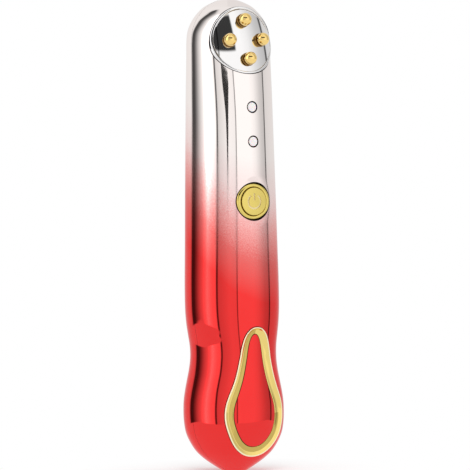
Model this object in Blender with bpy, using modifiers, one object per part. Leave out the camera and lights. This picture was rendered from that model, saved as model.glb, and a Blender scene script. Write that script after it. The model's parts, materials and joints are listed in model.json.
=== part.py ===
"""Hand-held facial massage wand with four ball electrodes on its head, standing on its foot.

Metres. +Z runs up the wand from the foot to the head, the front with the button faces -Y.
"""

import math

import bmesh
import bpy
from mathutils import Matrix, Vector

# Body
LENGTH = 0.175
BODY_RADIUS = 0.0187
WALL = 0.0022
GAP = 0.0003
BODY_SIDES = 32
CAVITY_SIDES = 24
CAVITY_ROW_STEPS = 2
# Rows from foot to top: height as a share of LENGTH, then the half width, the front depth
# and the rear depth as shares of BODY_RADIUS.
BODY_SHARES = (
    (0.000, 0.257, 0.257, 0.257),
    (0.014, 0.457, 0.457, 0.457),
    (0.027, 0.620, 0.623, 0.623),
    (0.042, 0.763, 0.770, 0.770),
    (0.061, 0.876, 0.889, 0.889),
    (0.081, 0.956, 0.971, 0.971),
    (0.103, 0.992, 1.007, 1.007),
    (0.126, 1.002, 1.017, 1.017),
    (0.149, 0.993, 1.013, 1.012),
    (0.171, 0.962, 0.991, 0.988),
    (0.194, 0.914, 0.974, 0.961),
    (0.214, 0.872, 0.964, 0.930),
    (0.233, 0.846, 0.956, 0.901),
    (0.251, 0.838, 0.956, 0.894),
    (0.270, 0.848, 0.958, 0.910),
    (0.291, 0.877, 0.965, 0.942),
    (0.317, 0.909, 0.977, 0.973),
    (0.349, 0.928, 0.984, 0.984),
    (0.400, 0.928, 0.984, 0.984),
    (0.480, 0.909, 0.977, 0.977),
    (0.571, 0.889, 0.970, 0.970),
    (0.663, 0.867, 0.958, 0.958),
    (0.743, 0.850, 0.939, 0.939),
    (0.800, 0.844, 0.911, 0.911),
    (0.846, 0.838, 0.876, 0.876),
    (0.880, 0.834, 0.851, 0.851),
    (0.911, 0.830, 0.838, 0.838),
    (0.934, 0.803, 0.807, 0.807),
    (0.954, 0.725, 0.725, 0.725),
    (0.970, 0.618, 0.618, 0.618),
    (0.984, 0.479, 0.479, 0.479),
    (0.994, 0.299, 0.299, 0.299),
    (0.999, 0.155, 0.155, 0.155),
    (1.000, 0.000, 0.000, 0.000),
)

# Parting of the two shells: a plane that leans back as it rises
PARTING_FRONT = 0.0022
PARTING_LEAN = math.radians(0.9)
LAP_LENGTH = 0.0015
LAP_SINK = 0.00125
RIB_SINK = 0.001

# Head, in a frame whose origin is the middle of the plate
HEAD_BELOW_TOP = 0.0152
HEAD_HEIGHT = LENGTH - HEAD_BELOW_TOP
HEAD_DEPTH = 0.0127
HEAD_LEAN = math.radians(13.5)
PLATE_BEND = 0.0244
RING_RADIUS = 0.01285
RING_WIDTH = 0.0009
RING_PROUD = 0.00025
RING_EDGE = 0.00025
PLATE_THICKNESS = 0.0016
PLATE_EDGE = 0.0002
SEAL_THICKNESS = 0.0009
SEAL_WIDTH = 0.0022
SEAL_INSET = 0.00025
SEAL_OUTER = RING_RADIUS - SEAL_INSET
SEAL_INNER = SEAL_OUTER - SEAL_WIDTH
SEAT_THICKNESS = 0.0018
SEAT_MARGIN = 0.00175
SEAT_OUTER = RING_RADIUS + SEAT_MARGIN
HEAD_SIDES = 32
POCKET_SIDES = 38
PLATE_SIDES = 48
PLATE_RINGS = 3

# Electrodes
BALL_RADIUS = 0.0024
BALL_LIFT = 0.0028
BUSH_COLLAR_RADIUS = 0.0029
BUSH_COLLAR_CLEAR = 0.00015
PIN_SIDE_INSET = 0.00098
PIN_CIRCLE_UP = SEAL_INNER - BUSH_COLLAR_RADIUS - BUSH_COLLAR_CLEAR
PIN_CIRCLE_SIDE = PIN_CIRCLE_UP - PIN_SIDE_INSET
FLANGE_RADIUS = 0.003
FLANGE_THICKNESS = 0.00045
NECK_RADIUS = 0.0015
SHANK_RADIUS = 0.0009
SHANK_END = 0.0062
BUSH_RADIUS = 0.0018
BUSH_COLLAR = 0.0006
LUG_THICKNESS = 0.0004
LUG_RADIUS = 0.0021
LUG_CLEAR = 0.00205
LUG_TAB_LENGTH = PIN_CIRCLE_UP - LUG_RADIUS - LUG_CLEAR
LUG_TAB_WIDTH = 0.0012
NUT_RADIUS = 0.0019
NUT_THICKNESS = 0.0014
PIN_SIDES = 16
BALL_STEPS = 8

# Button
BUTTON_SHARE = 0.573142857142857
BUTTON_HEIGHT = LENGTH * BUTTON_SHARE
BUTTON_SEAT_THICKNESS = 0.0018
BUTTON_BOSS_RADIUS = 0.0092
BEZEL_RADIUS = 0.00715
BEZEL_SINK = 0.0014
BEZEL_THICKNESS = 0.0013
BEZEL_EDGE = 0.0004
BUTTON_SEAL_ROOM = 0.001
BEZEL_FACE = BODY_RADIUS - BEZEL_SINK
BEZEL_BACK = BEZEL_FACE - BEZEL_THICKNESS
BUTTON_FLOOR = BEZEL_BACK - BUTTON_SEAL_ROOM
CAP_RADIUS = 0.00515
CAP_PROUD = 0.00035
CAP_FACE = BEZEL_FACE + CAP_PROUD
CAP_CROWN = 0.0003
CAP_EDGE = 0.0003
CAP_FLANGE_RADIUS = 0.0064
CAP_FLANGE = 0.0007
CAP_TRAVEL = 0.00045
SYMBOL_RADIUS = 0.0026
SYMBOL_STROKE = 0.00045
SYMBOL_DEPTH = 0.0002
SYMBOL_OPENING = math.radians(34)
SYMBOL_BAR_TOP = 0.003
SYMBOL_BAR_FOOT = 0.0004
SYMBOL_STEPS = 16
BUTTON_SIDES = 40
WELL_SIDES = 38
BOSS_BACK_SIDES = 34

# Indicator lights: their heights as shares of the way from the button to the head
LIGHT_SHARES = (0.371428571428571, 0.584873949579832)
LIGHT_HEIGHTS = tuple(
    BUTTON_HEIGHT + (HEAD_HEIGHT - BUTTON_HEIGHT) * share for share in LIGHT_SHARES
)
LIGHT_RADIUS = 0.00185
LIGHT_FLANGE_RADIUS = 0.0027
LIGHT_FLANGE = 0.0008
LIGHT_FLANGE_SINK = 0.0044
LIGHT_FLANGE_FACE = BODY_RADIUS - LIGHT_FLANGE_SINK
LIGHT_CLEAR = 0.0005
LIGHT_SIDES = 24

# Teardrop trim and the recess that it frames
TRIM_WIDTH = 0.0242
TRIM_TOP = 0.0536
TRIM_FOOT = 0.0056
TRIM_BAND = 0.003
TRIM_PROUD = 0.0006
TRIM_SEAT = 0.0012
TRIM_CLEAR_TOP = 0.002
RECESS_SINK = 0.0009
# Right half of the trim's outer edge, from the top to the foot: half width as a share of
# TRIM_WIDTH, then the height above the foot as a share of the trim's height.
TRIM_SHARES = (
    (0.000, 1.000),
    (0.085, 0.990),
    (0.158, 0.955),
    (0.205, 0.905),
    (0.238, 0.838),
    (0.260, 0.770),
    (0.291, 0.693),
    (0.333, 0.612),
    (0.388, 0.534),
    (0.446, 0.462),
    (0.484, 0.398),
    (0.500, 0.330),
    (0.489, 0.260),
    (0.443, 0.182),
    (0.372, 0.112),
    (0.276, 0.055),
    (0.148, 0.014),
    (0.000, 0.000),
)
# Trim section from the outer wall round to the inner wall: place across the band as a share
# of TRIM_BAND, then the lift above the body as a share of TRIM_PROUD.
TRIM_SECTION_SHARES = (
    (0.00, -2.00),
    (0.00, 0.55),
    (0.05, 0.95),
    (0.13, 1.00),
    (0.22, 0.80),
    (0.90, -0.75),
    (1.00, -1.10),
    (1.00, -2.00),
)
# Rings of the sunk field, from its edge in to its middle
FIELD_SHARES = (1.0, 0.8, 0.6, 0.4, 0.2)

# Inner frame
FRAME_THICKNESS = 0.0015
FRAME_HALF_WIDTH = 0.0098
FRAME_BELOW_HEAD = 0.0108
FRAME_TOP = HEAD_HEIGHT - FRAME_BELOW_HEAD
BOARD_BELOW_BUTTON = 0.0133
BOARD_FOOT = BUTTON_HEIGHT - BOARD_BELOW_BUTTON
WINDOW_BELOW_BOARD = 0.0022
WINDOW_LENGTH = 0.0068
WINDOW_TOP = BOARD_FOOT - WINDOW_BELOW_BOARD
WINDOW_FOOT = WINDOW_TOP - WINDOW_LENGTH
WINDOW_HALF_WIDTH = 0.0068
CLIP_WALL = 0.0014
CLIP_LENGTH = 0.006
CLIP_SIDES = 20
CLIP_OPEN_SHARE = 0.45
FRAME_EAR_RADIUS = 0.0023
SCREW_BOSS_RADIUS = 0.0021
SCREW_SHANK_RADIUS = 0.0009
SCREW_HEAD_RADIUS = 0.0018
SCREW_HEAD = 0.0011
SCREW_LENGTH = 0.0095
CROSS_WIDTH = 0.0004
CROSS_LENGTH = 0.002
CROSS_DEPTH = 0.0006
BOSS_SIDES = 12

# Battery
BATTERY_RADIUS = 0.007
BATTERY_ABOVE_SOCKET = 0.0057
BATTERY_BELOW_WINDOW = 0.0028
BATTERY_EDGE = 0.0005
TERMINAL_RADIUS = 0.0025
TERMINAL = 0.0008
CLIP_ABOVE_FOOT = 0.0038
CLIP_BELOW_TOP = 0.003
PAD_HALF_WIDTH = 0.0035
PAD_ABOVE_CLIP = 0.0035
PAD_BELOW_CLIP = 0.0037
BATTERY_SIDES = 28

# Vibration motor
WEIGHT_RADIUS = 0.005
WEIGHT_HUB_RADIUS = 0.0018
WEIGHT_LENGTH = 0.007
WEIGHT_BELOW_FRAME = 0.0035
WEIGHT_TOP = FRAME_TOP - WEIGHT_BELOW_FRAME
WEIGHT_FOOT = WEIGHT_TOP - WEIGHT_LENGTH
MOTOR_RADIUS = 0.0056
MOTOR_LENGTH = 0.02
MOTOR_BELOW_WEIGHT = 0.0025
MOTOR_TOP = WEIGHT_FOOT - MOTOR_BELOW_WEIGHT
MOTOR_FOOT = MOTOR_TOP - MOTOR_LENGTH
MOTOR_NECK_RADIUS = 0.002
MOTOR_NECK = 0.0012
MOTOR_SHAFT_RADIUS = 0.0007
SLEEVE_WALL = 0.001
SLEEVE_INSET = 0.0025
SLEEVE_FOOT = MOTOR_FOOT + SLEEVE_INSET
SLEEVE_TOP = MOTOR_TOP - SLEEVE_INSET
CLIP_INSET = 0.001
MOTOR_CLIPS = (SLEEVE_FOOT + CLIP_INSET, SLEEVE_TOP - CLIP_INSET - CLIP_LENGTH)
MOTOR_SIDES = 24

# Screws of the frame, side and height: the lower pair at a share of LENGTH, the upper pair
# below the motor
LOWER_SCREW_SIDE = 0.0109
LOWER_SCREW_SHARE = 0.32
UPPER_SCREW_SIDE = 0.01
UPPER_SCREW_BELOW_CLIP = 0.0115
FRAME_SCREWS = (
    (LOWER_SCREW_SIDE, LENGTH * LOWER_SCREW_SHARE),
    (UPPER_SCREW_SIDE, MOTOR_CLIPS[0] - UPPER_SCREW_BELOW_CLIP),
)

# Main board
BOARD_THICKNESS = 0.001
BOARD_HALF_WIDTH = 0.008
BOARD_BELOW_FRAME = 0.004
BOARD_TOP = FRAME_TOP - BOARD_BELOW_FRAME
BOARD_SCREW_SIDE = 0.006
BOARD_SCREW_ABOVE_FOOT = 0.008
BOARD_SCREW_BELOW_TOP = 0.0055
BOARD_SCREWS = (
    (-BOARD_SCREW_SIDE, BOARD_FOOT + BOARD_SCREW_ABOVE_FOOT),
    (BOARD_SCREW_SIDE, BOARD_TOP - BOARD_SCREW_BELOW_TOP),
)
BOARD_SCREW_LENGTH = 0.0045
BOARD_HOLE_RADIUS = 0.00105
BOARD_BOSS_RADIUS = 0.0019
BOARD_BOSS_BACK = 0.0026
PLUNGER_RADIUS = 0.0015
PLUNGER_PROUD = 0.0007
PLUNGER_FACE = BUTTON_FLOOR - BUTTON_SEAT_THICKNESS - GAP - CAP_FLANGE - GAP
SWITCH_SIDE = 0.006
SWITCH_EDGE = 0.0003
SWITCH_WELL = 0.002
SWITCH_THICKNESS = 0.0025
SWITCH_FACE = PLUNGER_FACE - PLUNGER_PROUD
SWITCH_WELL_FLOOR = SWITCH_FACE - SWITCH_WELL
BOARD_FRONT = SWITCH_FACE - SWITCH_THICKNESS - GAP
LED_SIDE = 0.0022
LED_THICKNESS = 0.0014
LED_FACE = BOARD_FRONT + GAP + LED_THICKNESS
LIGHT_BACK = LED_FACE + LIGHT_CLEAR
FRAME_BEHIND_BOARD = 0.0017
FRAME_FRONT = BOARD_FRONT - FRAME_BEHIND_BOARD
PAD_ROOM = 0.0012
BATTERY_BEHIND = BATTERY_RADIUS + PAD_ROOM - (FRAME_FRONT - FRAME_THICKNESS)
# Components: name, middle across, width, height and thickness
CHIPS = (
    ("processor", -0.0008, 0.0080, 0.0056, 0.0012),
    ("coil", -0.0040, 0.0048, 0.0048, 0.0018),
    ("charge_chip", 0.0004, 0.0040, 0.0032, 0.0011),
)
# Their middle heights, as shares of the way from the button to the head
CHIP_HEIGHT_SHARES = (0.216806722689076, 0.478991596638655, -0.126050420168067)

# Charging socket on a small board behind the foot of the battery
SOCKET_HEIGHT = 0.0205
SOCKET_HALF_WIDTH = 0.00447
SOCKET_HALF_HEIGHT = 0.00163
SOCKET_WALL = 0.00035
SOCKET_SINK = 0.0003
SOCKET_LENGTH = 0.0072
SOCKET_MOUTH = BODY_RADIUS - SOCKET_SINK
SOCKET_BACK = SOCKET_MOUTH - SOCKET_LENGTH
SOCKET_END_WALL = 0.0006
SOCKET_SIDES = 20
TONGUE_HALF_WIDTH = 0.0033
TONGUE_HALF_HEIGHT = 0.00035
TONGUE_SINK = 0.0019
TONGUE_END = SOCKET_MOUTH - TONGUE_SINK
CHARGE_BOARD_HALF_WIDTH = 0.0062
CHARGE_BOARD_THICKNESS = 0.0008
CHARGE_BOARD_LENGTH = 0.0087
CHARGE_BOARD_SINK = 0.0042
CHARGE_BOARD_REAR = SOCKET_MOUTH - CHARGE_BOARD_SINK
CHARGE_BOARD_FRONT = CHARGE_BOARD_REAR - CHARGE_BOARD_LENGTH
SHELF_INSET = 0.003
SHELF_FRONT = CHARGE_BOARD_FRONT + SHELF_INSET
SHELF_INNER = 0.0032
SHELF_OUTER = 0.0056
SHELF_HEIGHT = 0.003

# Battery, its clips and pad, and the frame's foot, between the socket and the wire window
BATTERY_FOOT = SOCKET_HEIGHT + BATTERY_ABOVE_SOCKET
BATTERY_TOP = WINDOW_FOOT - BATTERY_BELOW_WINDOW
BATTERY_CLIPS = (BATTERY_FOOT + CLIP_ABOVE_FOOT, BATTERY_TOP - CLIP_BELOW_TOP - CLIP_LENGTH)
PAD_FOOT = BATTERY_CLIPS[0] + CLIP_LENGTH + PAD_ABOVE_CLIP
PAD_TOP = BATTERY_CLIPS[1] - PAD_BELOW_CLIP
FRAME_BELOW_BATTERY = 0.0002
FRAME_FOOT = BATTERY_FOOT - FRAME_BELOW_BATTERY

# Wires
WIRE_RADIUS = 0.00045
BATTERY_LEAD_SIDE = 0.0018
MOTOR_LEAD_SIDE = 0.0042
CHARGE_LEAD_SIDE = 0.0079
CHARGE_LEAD_DEPTH = 0.0033
LEAD_RISE = 0.0022
SOLDER_UP = 0.002
LEAD_BACK = 0.006
SOLDER_SHARE = 0.7
BEND_REACH = 0.0025
BEND_SHARE = 0.45
BEND_STEPS = 3

# Working values
EVER = 0.5
MERGE_DISTANCE = 0.00001
SMALL_TURN = 0.001
CUTTER_TURN = math.radians(2.8)
SHARP_ANGLE = math.radians(32)


def new_material(name, colour, roughness, metallic, transmission=0.0):
    material = bpy.data.materials.new(name)
    material.use_nodes = True
    shader = material.node_tree.nodes["Principled BSDF"]
    shader.inputs["Base Color"].default_value = (*colour, 1.0)
    shader.inputs["Roughness"].default_value = roughness
    shader.inputs["Metallic"].default_value = metallic
    shader.inputs["Transmission Weight"].default_value = transmission
    material.diffuse_color = (*colour, 1.0)
    return material


def red_chrome(name):
    return new_material(name, (0.72, 0.05, 0.05), 0.12, 1.0)


def silver_chrome(name):
    return new_material(name, (0.86, 0.84, 0.83), 0.08, 1.0)


def gold(name, roughness):
    return new_material(name, (0.86, 0.62, 0.22), roughness, 1.0)


def dark_plastic(name):
    return new_material(name, (0.05, 0.05, 0.055), 0.55, 0.0)


def white_plastic(name):
    return new_material(name, (0.75, 0.75, 0.73), 0.5, 0.0)


def rubber(name, grey):
    return new_material(name, (grey, grey, grey), 0.8, 0.0)


def board_green(name):
    return new_material(name, (0.03, 0.19, 0.09), 0.4, 0.0)


def bare_metal(name):
    return new_material(name, (0.62, 0.62, 0.63), 0.3, 1.0)


def wire_skin(name, colour):
    return new_material(name, colour, 0.5, 0.0)


def clear_scene():
    for thing in list(bpy.data.objects):
        bpy.data.objects.remove(thing, do_unlink=True)
    for material in list(bpy.data.materials):
        bpy.data.materials.remove(material)


def make_collections():
    wand = bpy.data.collections.new("massage_wand")
    cutters = bpy.data.collections.new("cutters")
    bpy.context.scene.collection.children.link(wand)
    bpy.context.scene.collection.children.link(cutters)
    return wand, cutters


def into_wand(thing, material):
    """Files a finished piece with the wand and gives it its own material."""
    for owner in list(thing.users_collection):
        owner.objects.unlink(thing)
    WAND.objects.link(thing)
    thing.data.materials.clear()
    thing.data.materials.append(material)
    if thing.type == "MESH":
        thing.data.shade_smooth()
        thing.data.set_sharp_from_angle(angle=SHARP_ANGLE)
    return thing


def mesh_object(name, points, faces):
    mesh = bpy.data.meshes.new(name)
    mesh.from_pydata([tuple(point) for point in points], [], faces)
    mesh.update()
    thing = bpy.data.objects.new(name, mesh)
    CUTTERS.objects.link(thing)
    thing.hide_render = True
    thing.display_type = "WIRE"
    return thing


def show(thing):
    thing.hide_render = False
    thing.display_type = "TEXTURED"
    return thing


def boolean(thing, other, operation):
    modifier = thing.modifiers.new(other.name, "BOOLEAN")
    modifier.operation = operation
    modifier.solver = "EXACT"
    modifier.object = other
    return thing


def settle(thing):
    """Replaces the piece's mesh by what its modifiers make of it."""
    bpy.context.view_layer.update()
    graph = bpy.context.evaluated_depsgraph_get()
    mesh = bpy.data.meshes.new_from_object(thing.evaluated_get(graph))
    old = thing.data
    thing.modifiers.clear()
    thing.data = mesh
    bpy.data.meshes.remove(old)
    return thing


def box(name, low, high):
    mesh = bpy.data.meshes.new(name)
    work = bmesh.new()
    bmesh.ops.create_cube(work, size=1.0)
    size = Vector(high) - Vector(low)
    middle = (Vector(high) + Vector(low)) / 2
    for vertex in work.verts:
        vertex.co = Vector(a * b for a, b in zip(vertex.co, size)) + middle
    work.to_mesh(mesh)
    work.free()
    thing = bpy.data.objects.new(name, mesh)
    CUTTERS.objects.link(thing)
    thing.hide_render = True
    thing.display_type = "WIRE"
    return thing


def lathe(name, profile, sides):
    """Turns a profile of (radius, height) points round the local Z axis."""
    closed = profile[0][0] > 0
    edges = [(i, i + 1) for i in range(len(profile) - 1)]
    if closed:
        edges.append((len(profile) - 1, 0))
    mesh = bpy.data.meshes.new(name)
    mesh.from_pydata([(radius, 0, height) for radius, height in profile], edges, [])
    thing = bpy.data.objects.new(name, mesh)
    CUTTERS.objects.link(thing)
    thing.hide_render = True
    thing.display_type = "WIRE"
    screw = thing.modifiers.new("turn", "SCREW")
    screw.steps = sides
    screw.render_steps = sides
    screw.use_merge_vertices = True
    screw.merge_threshold = MERGE_DISTANCE
    return settle(thing)


def rod(name, radius, low, high, sides):
    return lathe(name, ((0, high), (radius, high), (radius, low), (0, low)), sides)


def tube(name, inner, outer, low, high, sides):
    profile = ((inner, high), (outer, high), (outer, low), (inner, low))
    return lathe(name, profile, sides)


def askew(cutter):
    """Turns a round cutter a little, so that its edges cross those of the piece it cuts."""
    cutter.data.transform(Matrix.Rotation(CUTTER_TURN, 4, "Z"))
    return cutter


def facing_front(thing, side, height):
    """Turns local Z to the front, so that local heights become depths in front of the axis."""
    thing.location = (side, 0, height)
    thing.rotation_euler = (math.pi / 2, 0, 0)
    return thing


def join(name, pieces):
    """One object out of several separate solids."""
    work = bmesh.new()
    for piece in pieces:
        settle(piece)
        mesh = piece.data.copy()
        mesh.transform(piece.matrix_world)
        work.from_mesh(mesh)
        bpy.data.meshes.remove(mesh)
        bpy.data.objects.remove(piece, do_unlink=True)
    thing = mesh_object(name, [], [])
    work.to_mesh(thing.data)
    work.free()
    return thing


def spline(rows, step):
    """A smooth curve through the rows, read at a fractional row number."""
    last = len(rows) - 1
    index = min(max(int(math.floor(step)), 0), last - 1)
    share = step - index
    here = rows[index]
    after = rows[index + 1]
    before = rows[index - 1] if index > 0 else [2 * a - b for a, b in zip(here, after)]
    beyond = rows[index + 2] if index < last - 1 else [2 * a - b for a, b in zip(after, here)]
    return [
        0.5 * (2 * b + (c - a) * share + (2 * a - 5 * b + 4 * c - d) * share**2
               + (3 * b - a - 3 * c + d) * share**3)
        for a, b, c, d in zip(before, here, after, beyond)
    ]


def body_section(step):
    """Height, half width, front depth and rear depth of the body at a fractional row."""
    shares = spline(BODY_SHARES, step)
    return (shares[0] * LENGTH, *(share * BODY_RADIUS for share in shares[1:]))


def body_point(step, turn):
    """A point on the body, turned from the front towards +X."""
    height, half_width, front, rear = body_section(step)
    depth = front if math.cos(turn) > 0 else rear
    return Vector((half_width * math.sin(turn), -depth * math.cos(turn), height))


def body_normal(step, turn):
    along = body_point(step + SMALL_TURN, turn) - body_point(step - SMALL_TURN, turn)
    around = body_point(step, turn + SMALL_TURN) - body_point(step, turn - SMALL_TURN)
    return around.cross(along).normalized()


def body_form(name, sink, sides=BODY_SIDES, row_step=1):
    """The whole body as one closed solid, its skin sunk by a distance all over."""
    points = []
    faces = []
    rows = range(0, len(BODY_SHARES) - 1, row_step)
    for row in rows:
        for side in range(sides):
            turn = 2 * math.pi * (side + 0.5) / sides
            points.append(body_point(row, turn) - body_normal(row, turn) * sink)
    for ring in range(len(rows) - 1):
        for side in range(sides):
            beside = (side + 1) % sides
            low = ring * sides
            high = low + sides
            faces.append((low + side, low + beside, high + beside, high + side))
    top = len(points)
    points.append(Vector((0, 0, LENGTH - sink)))
    foot = len(points)
    foot_height = sum(point.z for point in points[:sides]) / sides
    points.append(Vector((0, 0, foot_height)))
    for side in range(sides):
        beside = (side + 1) % sides
        high = (len(rows) - 1) * sides
        faces.append((high + side, high + beside, top))
        faces.append((foot, beside, side))
    return mesh_object(name, points, faces)


def step_at(height):
    low = 0.0
    high = float(len(BODY_SHARES) - 1)
    for _ in range(40):
        middle = (low + high) / 2
        if body_section(middle)[0] < height:
            low = middle
        else:
            high = middle
    return low


def front_depth(side, height):
    half_width, front = body_section(step_at(height))[1:3]
    return front * math.sqrt(1 - (side / half_width) ** 2)


def front_point(side, height, lift):
    """The point over a plan position on the front, lifted off the skin along its normal."""
    nudge = BODY_RADIUS * SMALL_TURN
    across = (front_depth(side + nudge, height) - front_depth(side - nudge, height)) / (2 * nudge)
    along = (front_depth(side, height + nudge) - front_depth(side, height - nudge)) / (2 * nudge)
    normal = Vector((-across, -1, -along)).normalized()
    return Vector((side, -front_depth(side, height), height)) + normal * lift


def parting_slab(name, behind):
    """All the space in front of the parting plane moved back by a distance."""
    slab = box(name, (-EVER, -EVER, -EVER), (EVER, behind, EVER))
    slab.location = (0, -PARTING_FRONT, 0)
    slab.rotation_euler = (-PARTING_LEAN, 0, 0)
    return slab


def inside_skin(thing):
    """Trims a rib or boss so that it ends within the thickness of the wall."""
    return boolean(thing, RIB_LIMIT, "INTERSECT")


def head_frame():
    turn = Matrix.Rotation(math.pi / 2 - HEAD_LEAN, 4, "X")
    return Matrix.Translation((0, -HEAD_DEPTH, HEAD_HEIGHT)) @ turn


def bend_drop(side):
    return PLATE_BEND - math.sqrt(PLATE_BEND**2 - side**2)


def bent(thing):
    """Bends a flat turned piece to the curve of the head plate and sets it on the head."""
    for vertex in thing.data.vertices:
        vertex.co.z -= bend_drop(vertex.co.x)
    thing.data.update()
    thing.matrix_world = head_frame()
    return thing


def pin_frames():
    """One frame for each electrode: its foot on the plate, its axis square to the plate there.

    Local -Y is the side that its lug points to, so the bottom one is turned half round.
    """
    frames = {}
    for name, side, up, round_turn in (
        ("top", 0, PIN_CIRCLE_UP, 0),
        ("bottom", 0, -PIN_CIRCLE_UP, math.pi),
        ("left", -PIN_CIRCLE_SIDE, 0, 0),
        ("right", PIN_CIRCLE_SIDE, 0, 0),
    ):
        place = Matrix.Translation((side, up, -bend_drop(side)))
        turn = Matrix.Rotation(math.asin(side / PLATE_BEND), 4, "Y")
        frames[name] = head_frame() @ place @ turn @ Matrix.Rotation(round_turn, 4, "Z")
    return frames


def seat_depth():
    return PLATE_THICKNESS + SEAL_THICKNESS + 2 * GAP


def flat_rings(inner, outer, count):
    return [inner + (outer - inner) * i / count for i in range(count + 1)]


def head_seat():
    """A shelf inside the head opening that the seal and the plate rest on."""
    inner = SEAL_INNER - SEAT_THICKNESS
    foot = -seat_depth() - SEAT_THICKNESS
    shelf = bent(tube("head_seat", inner, SEAT_OUTER, foot, -PLATE_THICKNESS, HEAD_SIDES))
    return inside_skin(shelf)


def head_pocket():
    """The room for ring, plate and seal, and the opening through the shelf under them."""
    floor = -seat_depth()
    radius = RING_RADIUS + GAP
    through = -2 * RING_RADIUS
    profile = (
        (0, 2 * RING_RADIUS),
        (radius, 2 * RING_RADIUS),
        (radius, floor),
        (SEAL_INNER, floor),
        (SEAL_INNER, through),
        (0, through),
    )
    return bent(askew(lathe("head_pocket", profile, POCKET_SIDES)))


def button_boss():
    boss = rod(
        "button_boss",
        BUTTON_BOSS_RADIUS,
        BUTTON_FLOOR - BUTTON_SEAT_THICKNESS,
        BEZEL_FACE,
        BOSS_BACK_SIDES,
    )
    return inside_skin(facing_front(boss, 0, BUTTON_HEIGHT))


def button_well():
    """The round well for the bezel and seal, and the cap's hole through its floor."""
    well = BEZEL_RADIUS + GAP
    hole = CAP_RADIUS + GAP
    profile = (
        (0, 2 * BEZEL_FACE),
        (well, 2 * BEZEL_FACE),
        (well, BUTTON_FLOOR),
        (hole, BUTTON_FLOOR),
        (hole, BUTTON_FLOOR / 2),
        (0, BUTTON_FLOOR / 2),
    )
    return facing_front(askew(lathe("button_well", profile, WELL_SIDES)), 0, BUTTON_HEIGHT)


def light_holes():
    holes = []
    for height in LIGHT_HEIGHTS:
        hole = rod("hole", LIGHT_RADIUS + GAP, BUTTON_FLOOR / 2, 2 * BODY_RADIUS, LIGHT_SIDES)
        holes.append(facing_front(askew(hole), 0, height))
    return join("light_holes", holes)


def trim_outline(inset):
    """The trim's outer edge in plan, drawn in by a distance, as (side, height) pairs."""
    tall = TRIM_TOP - TRIM_FOOT
    half = [(side * TRIM_WIDTH, TRIM_FOOT + up * tall) for side, up in TRIM_SHARES]
    outline = half + [(-side, up) for side, up in reversed(half[1:-1])]
    drawn = []
    for index, (side, up) in enumerate(outline):
        before = outline[index - 1]
        after = outline[(index + 1) % len(outline)]
        run = Vector((after[0] - before[0], after[1] - before[1])).normalized()
        drawn.append((side + run.y * inset, up - run.x * inset))
    return drawn


def trim_recess():
    """Everything above the sunk field inside the trim."""
    outline = trim_outline(TRIM_BAND / 2)
    widest_up = max(TRIM_SHARES)[1]
    middle = Vector((0, TRIM_FOOT + (TRIM_TOP - TRIM_FOOT) * widest_up))
    count = len(outline)
    last = len(FIELD_SHARES) - 1
    points = []
    faces = []
    for lift in (TRIM_CLEAR_TOP, -RECESS_SINK):
        for share in FIELD_SHARES:
            for side, up in outline:
                place = middle + (Vector((side, up)) - middle) * share
                points.append(front_point(place.x, place.y, lift))
        points.append(front_point(middle.x, middle.y, lift))
    sheet = (last + 1) * count + 1
    for start, flip in ((0, False), (sheet, True)):
        for ring in range(last):
            for i in range(count):
                j = (i + 1) % count
                low = start + ring * count
                face = (low + j, low + i, low + count + i, low + count + j)
                faces.append(face[::-1] if flip else face)
        for i in range(count):
            j = (i + 1) % count
            face = (start + last * count + j, start + last * count + i, start + sheet - 1)
            faces.append(face[::-1] if flip else face)
    for i in range(count):
        j = (i + 1) % count
        faces.append((i, j, sheet + j, sheet + i))
    return mesh_object("trim_recess", points, faces)


def trim_band(name, section):
    """A closed band round the teardrop, with a section of (inset, lift) pairs."""
    loops = [
        [front_point(side, up, lift) for side, up in trim_outline(inset)]
        for inset, lift in section
    ]
    count = len(loops[0])
    points = [point for loop in loops for point in loop]
    faces = []
    for row in range(len(loops)):
        below = (row + 1) % len(loops)
        for i in range(count):
            j = (i + 1) % count
            faces.append((row * count + i, below * count + i, below * count + j, row * count + j))
    return mesh_object(name, points, faces)


def trim_groove():
    floor = -(TRIM_SEAT + GAP)
    section = (
        (-GAP, floor),
        (-GAP, TRIM_CLEAR_TOP),
        (TRIM_BAND + GAP, TRIM_CLEAR_TOP),
        (TRIM_BAND + GAP, floor),
    )
    return trim_band("trim_groove", section)


def front_shell():
    shell = body_form("front_shell", 0)
    boolean(shell, parting_slab("front_half", 0), "INTERSECT")
    lap = body_form("front_lap", LAP_SINK)
    boolean(lap, parting_slab("front_lap_end", LAP_LENGTH), "INTERSECT")
    boolean(shell, lap, "UNION")
    boolean(shell, CAVITY, "DIFFERENCE")
    boolean(shell, head_seat(), "UNION")
    boolean(shell, button_boss(), "UNION")
    boolean(shell, head_pocket(), "DIFFERENCE")
    boolean(shell, button_well(), "DIFFERENCE")
    boolean(shell, light_holes(), "DIFFERENCE")
    boolean(shell, trim_recess(), "DIFFERENCE")
    boolean(shell, trim_groove(), "DIFFERENCE")
    return into_wand(show(settle(shell)), red_chrome("front_shell"))


def screw_places(places):
    return [(sign * side, height) for side, height in places for sign in (-1, 1)]


def rear_bosses():
    bosses = []
    for side, height in screw_places(FRAME_SCREWS):
        boss = rod("boss", SCREW_BOSS_RADIUS, -BODY_RADIUS, FRAME_FRONT - FRAME_THICKNESS - GAP, BOSS_SIDES)
        bosses.append(facing_front(boss, side, height))
    return inside_skin(join("rear_bosses", bosses))


def boss_holes():
    holes = []
    depth = FRAME_FRONT - SCREW_LENGTH - 2 * GAP
    for side, height in screw_places(FRAME_SCREWS):
        hole = rod("hole", SCREW_SHANK_RADIUS + GAP, depth, FRAME_FRONT, BOSS_SIDES)
        holes.append(facing_front(hole, side, height))
    return join("boss_holes", holes)


def charge_board_base():
    return SOCKET_HEIGHT - SOCKET_HALF_HEIGHT - GAP - CHARGE_BOARD_THICKNESS


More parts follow.
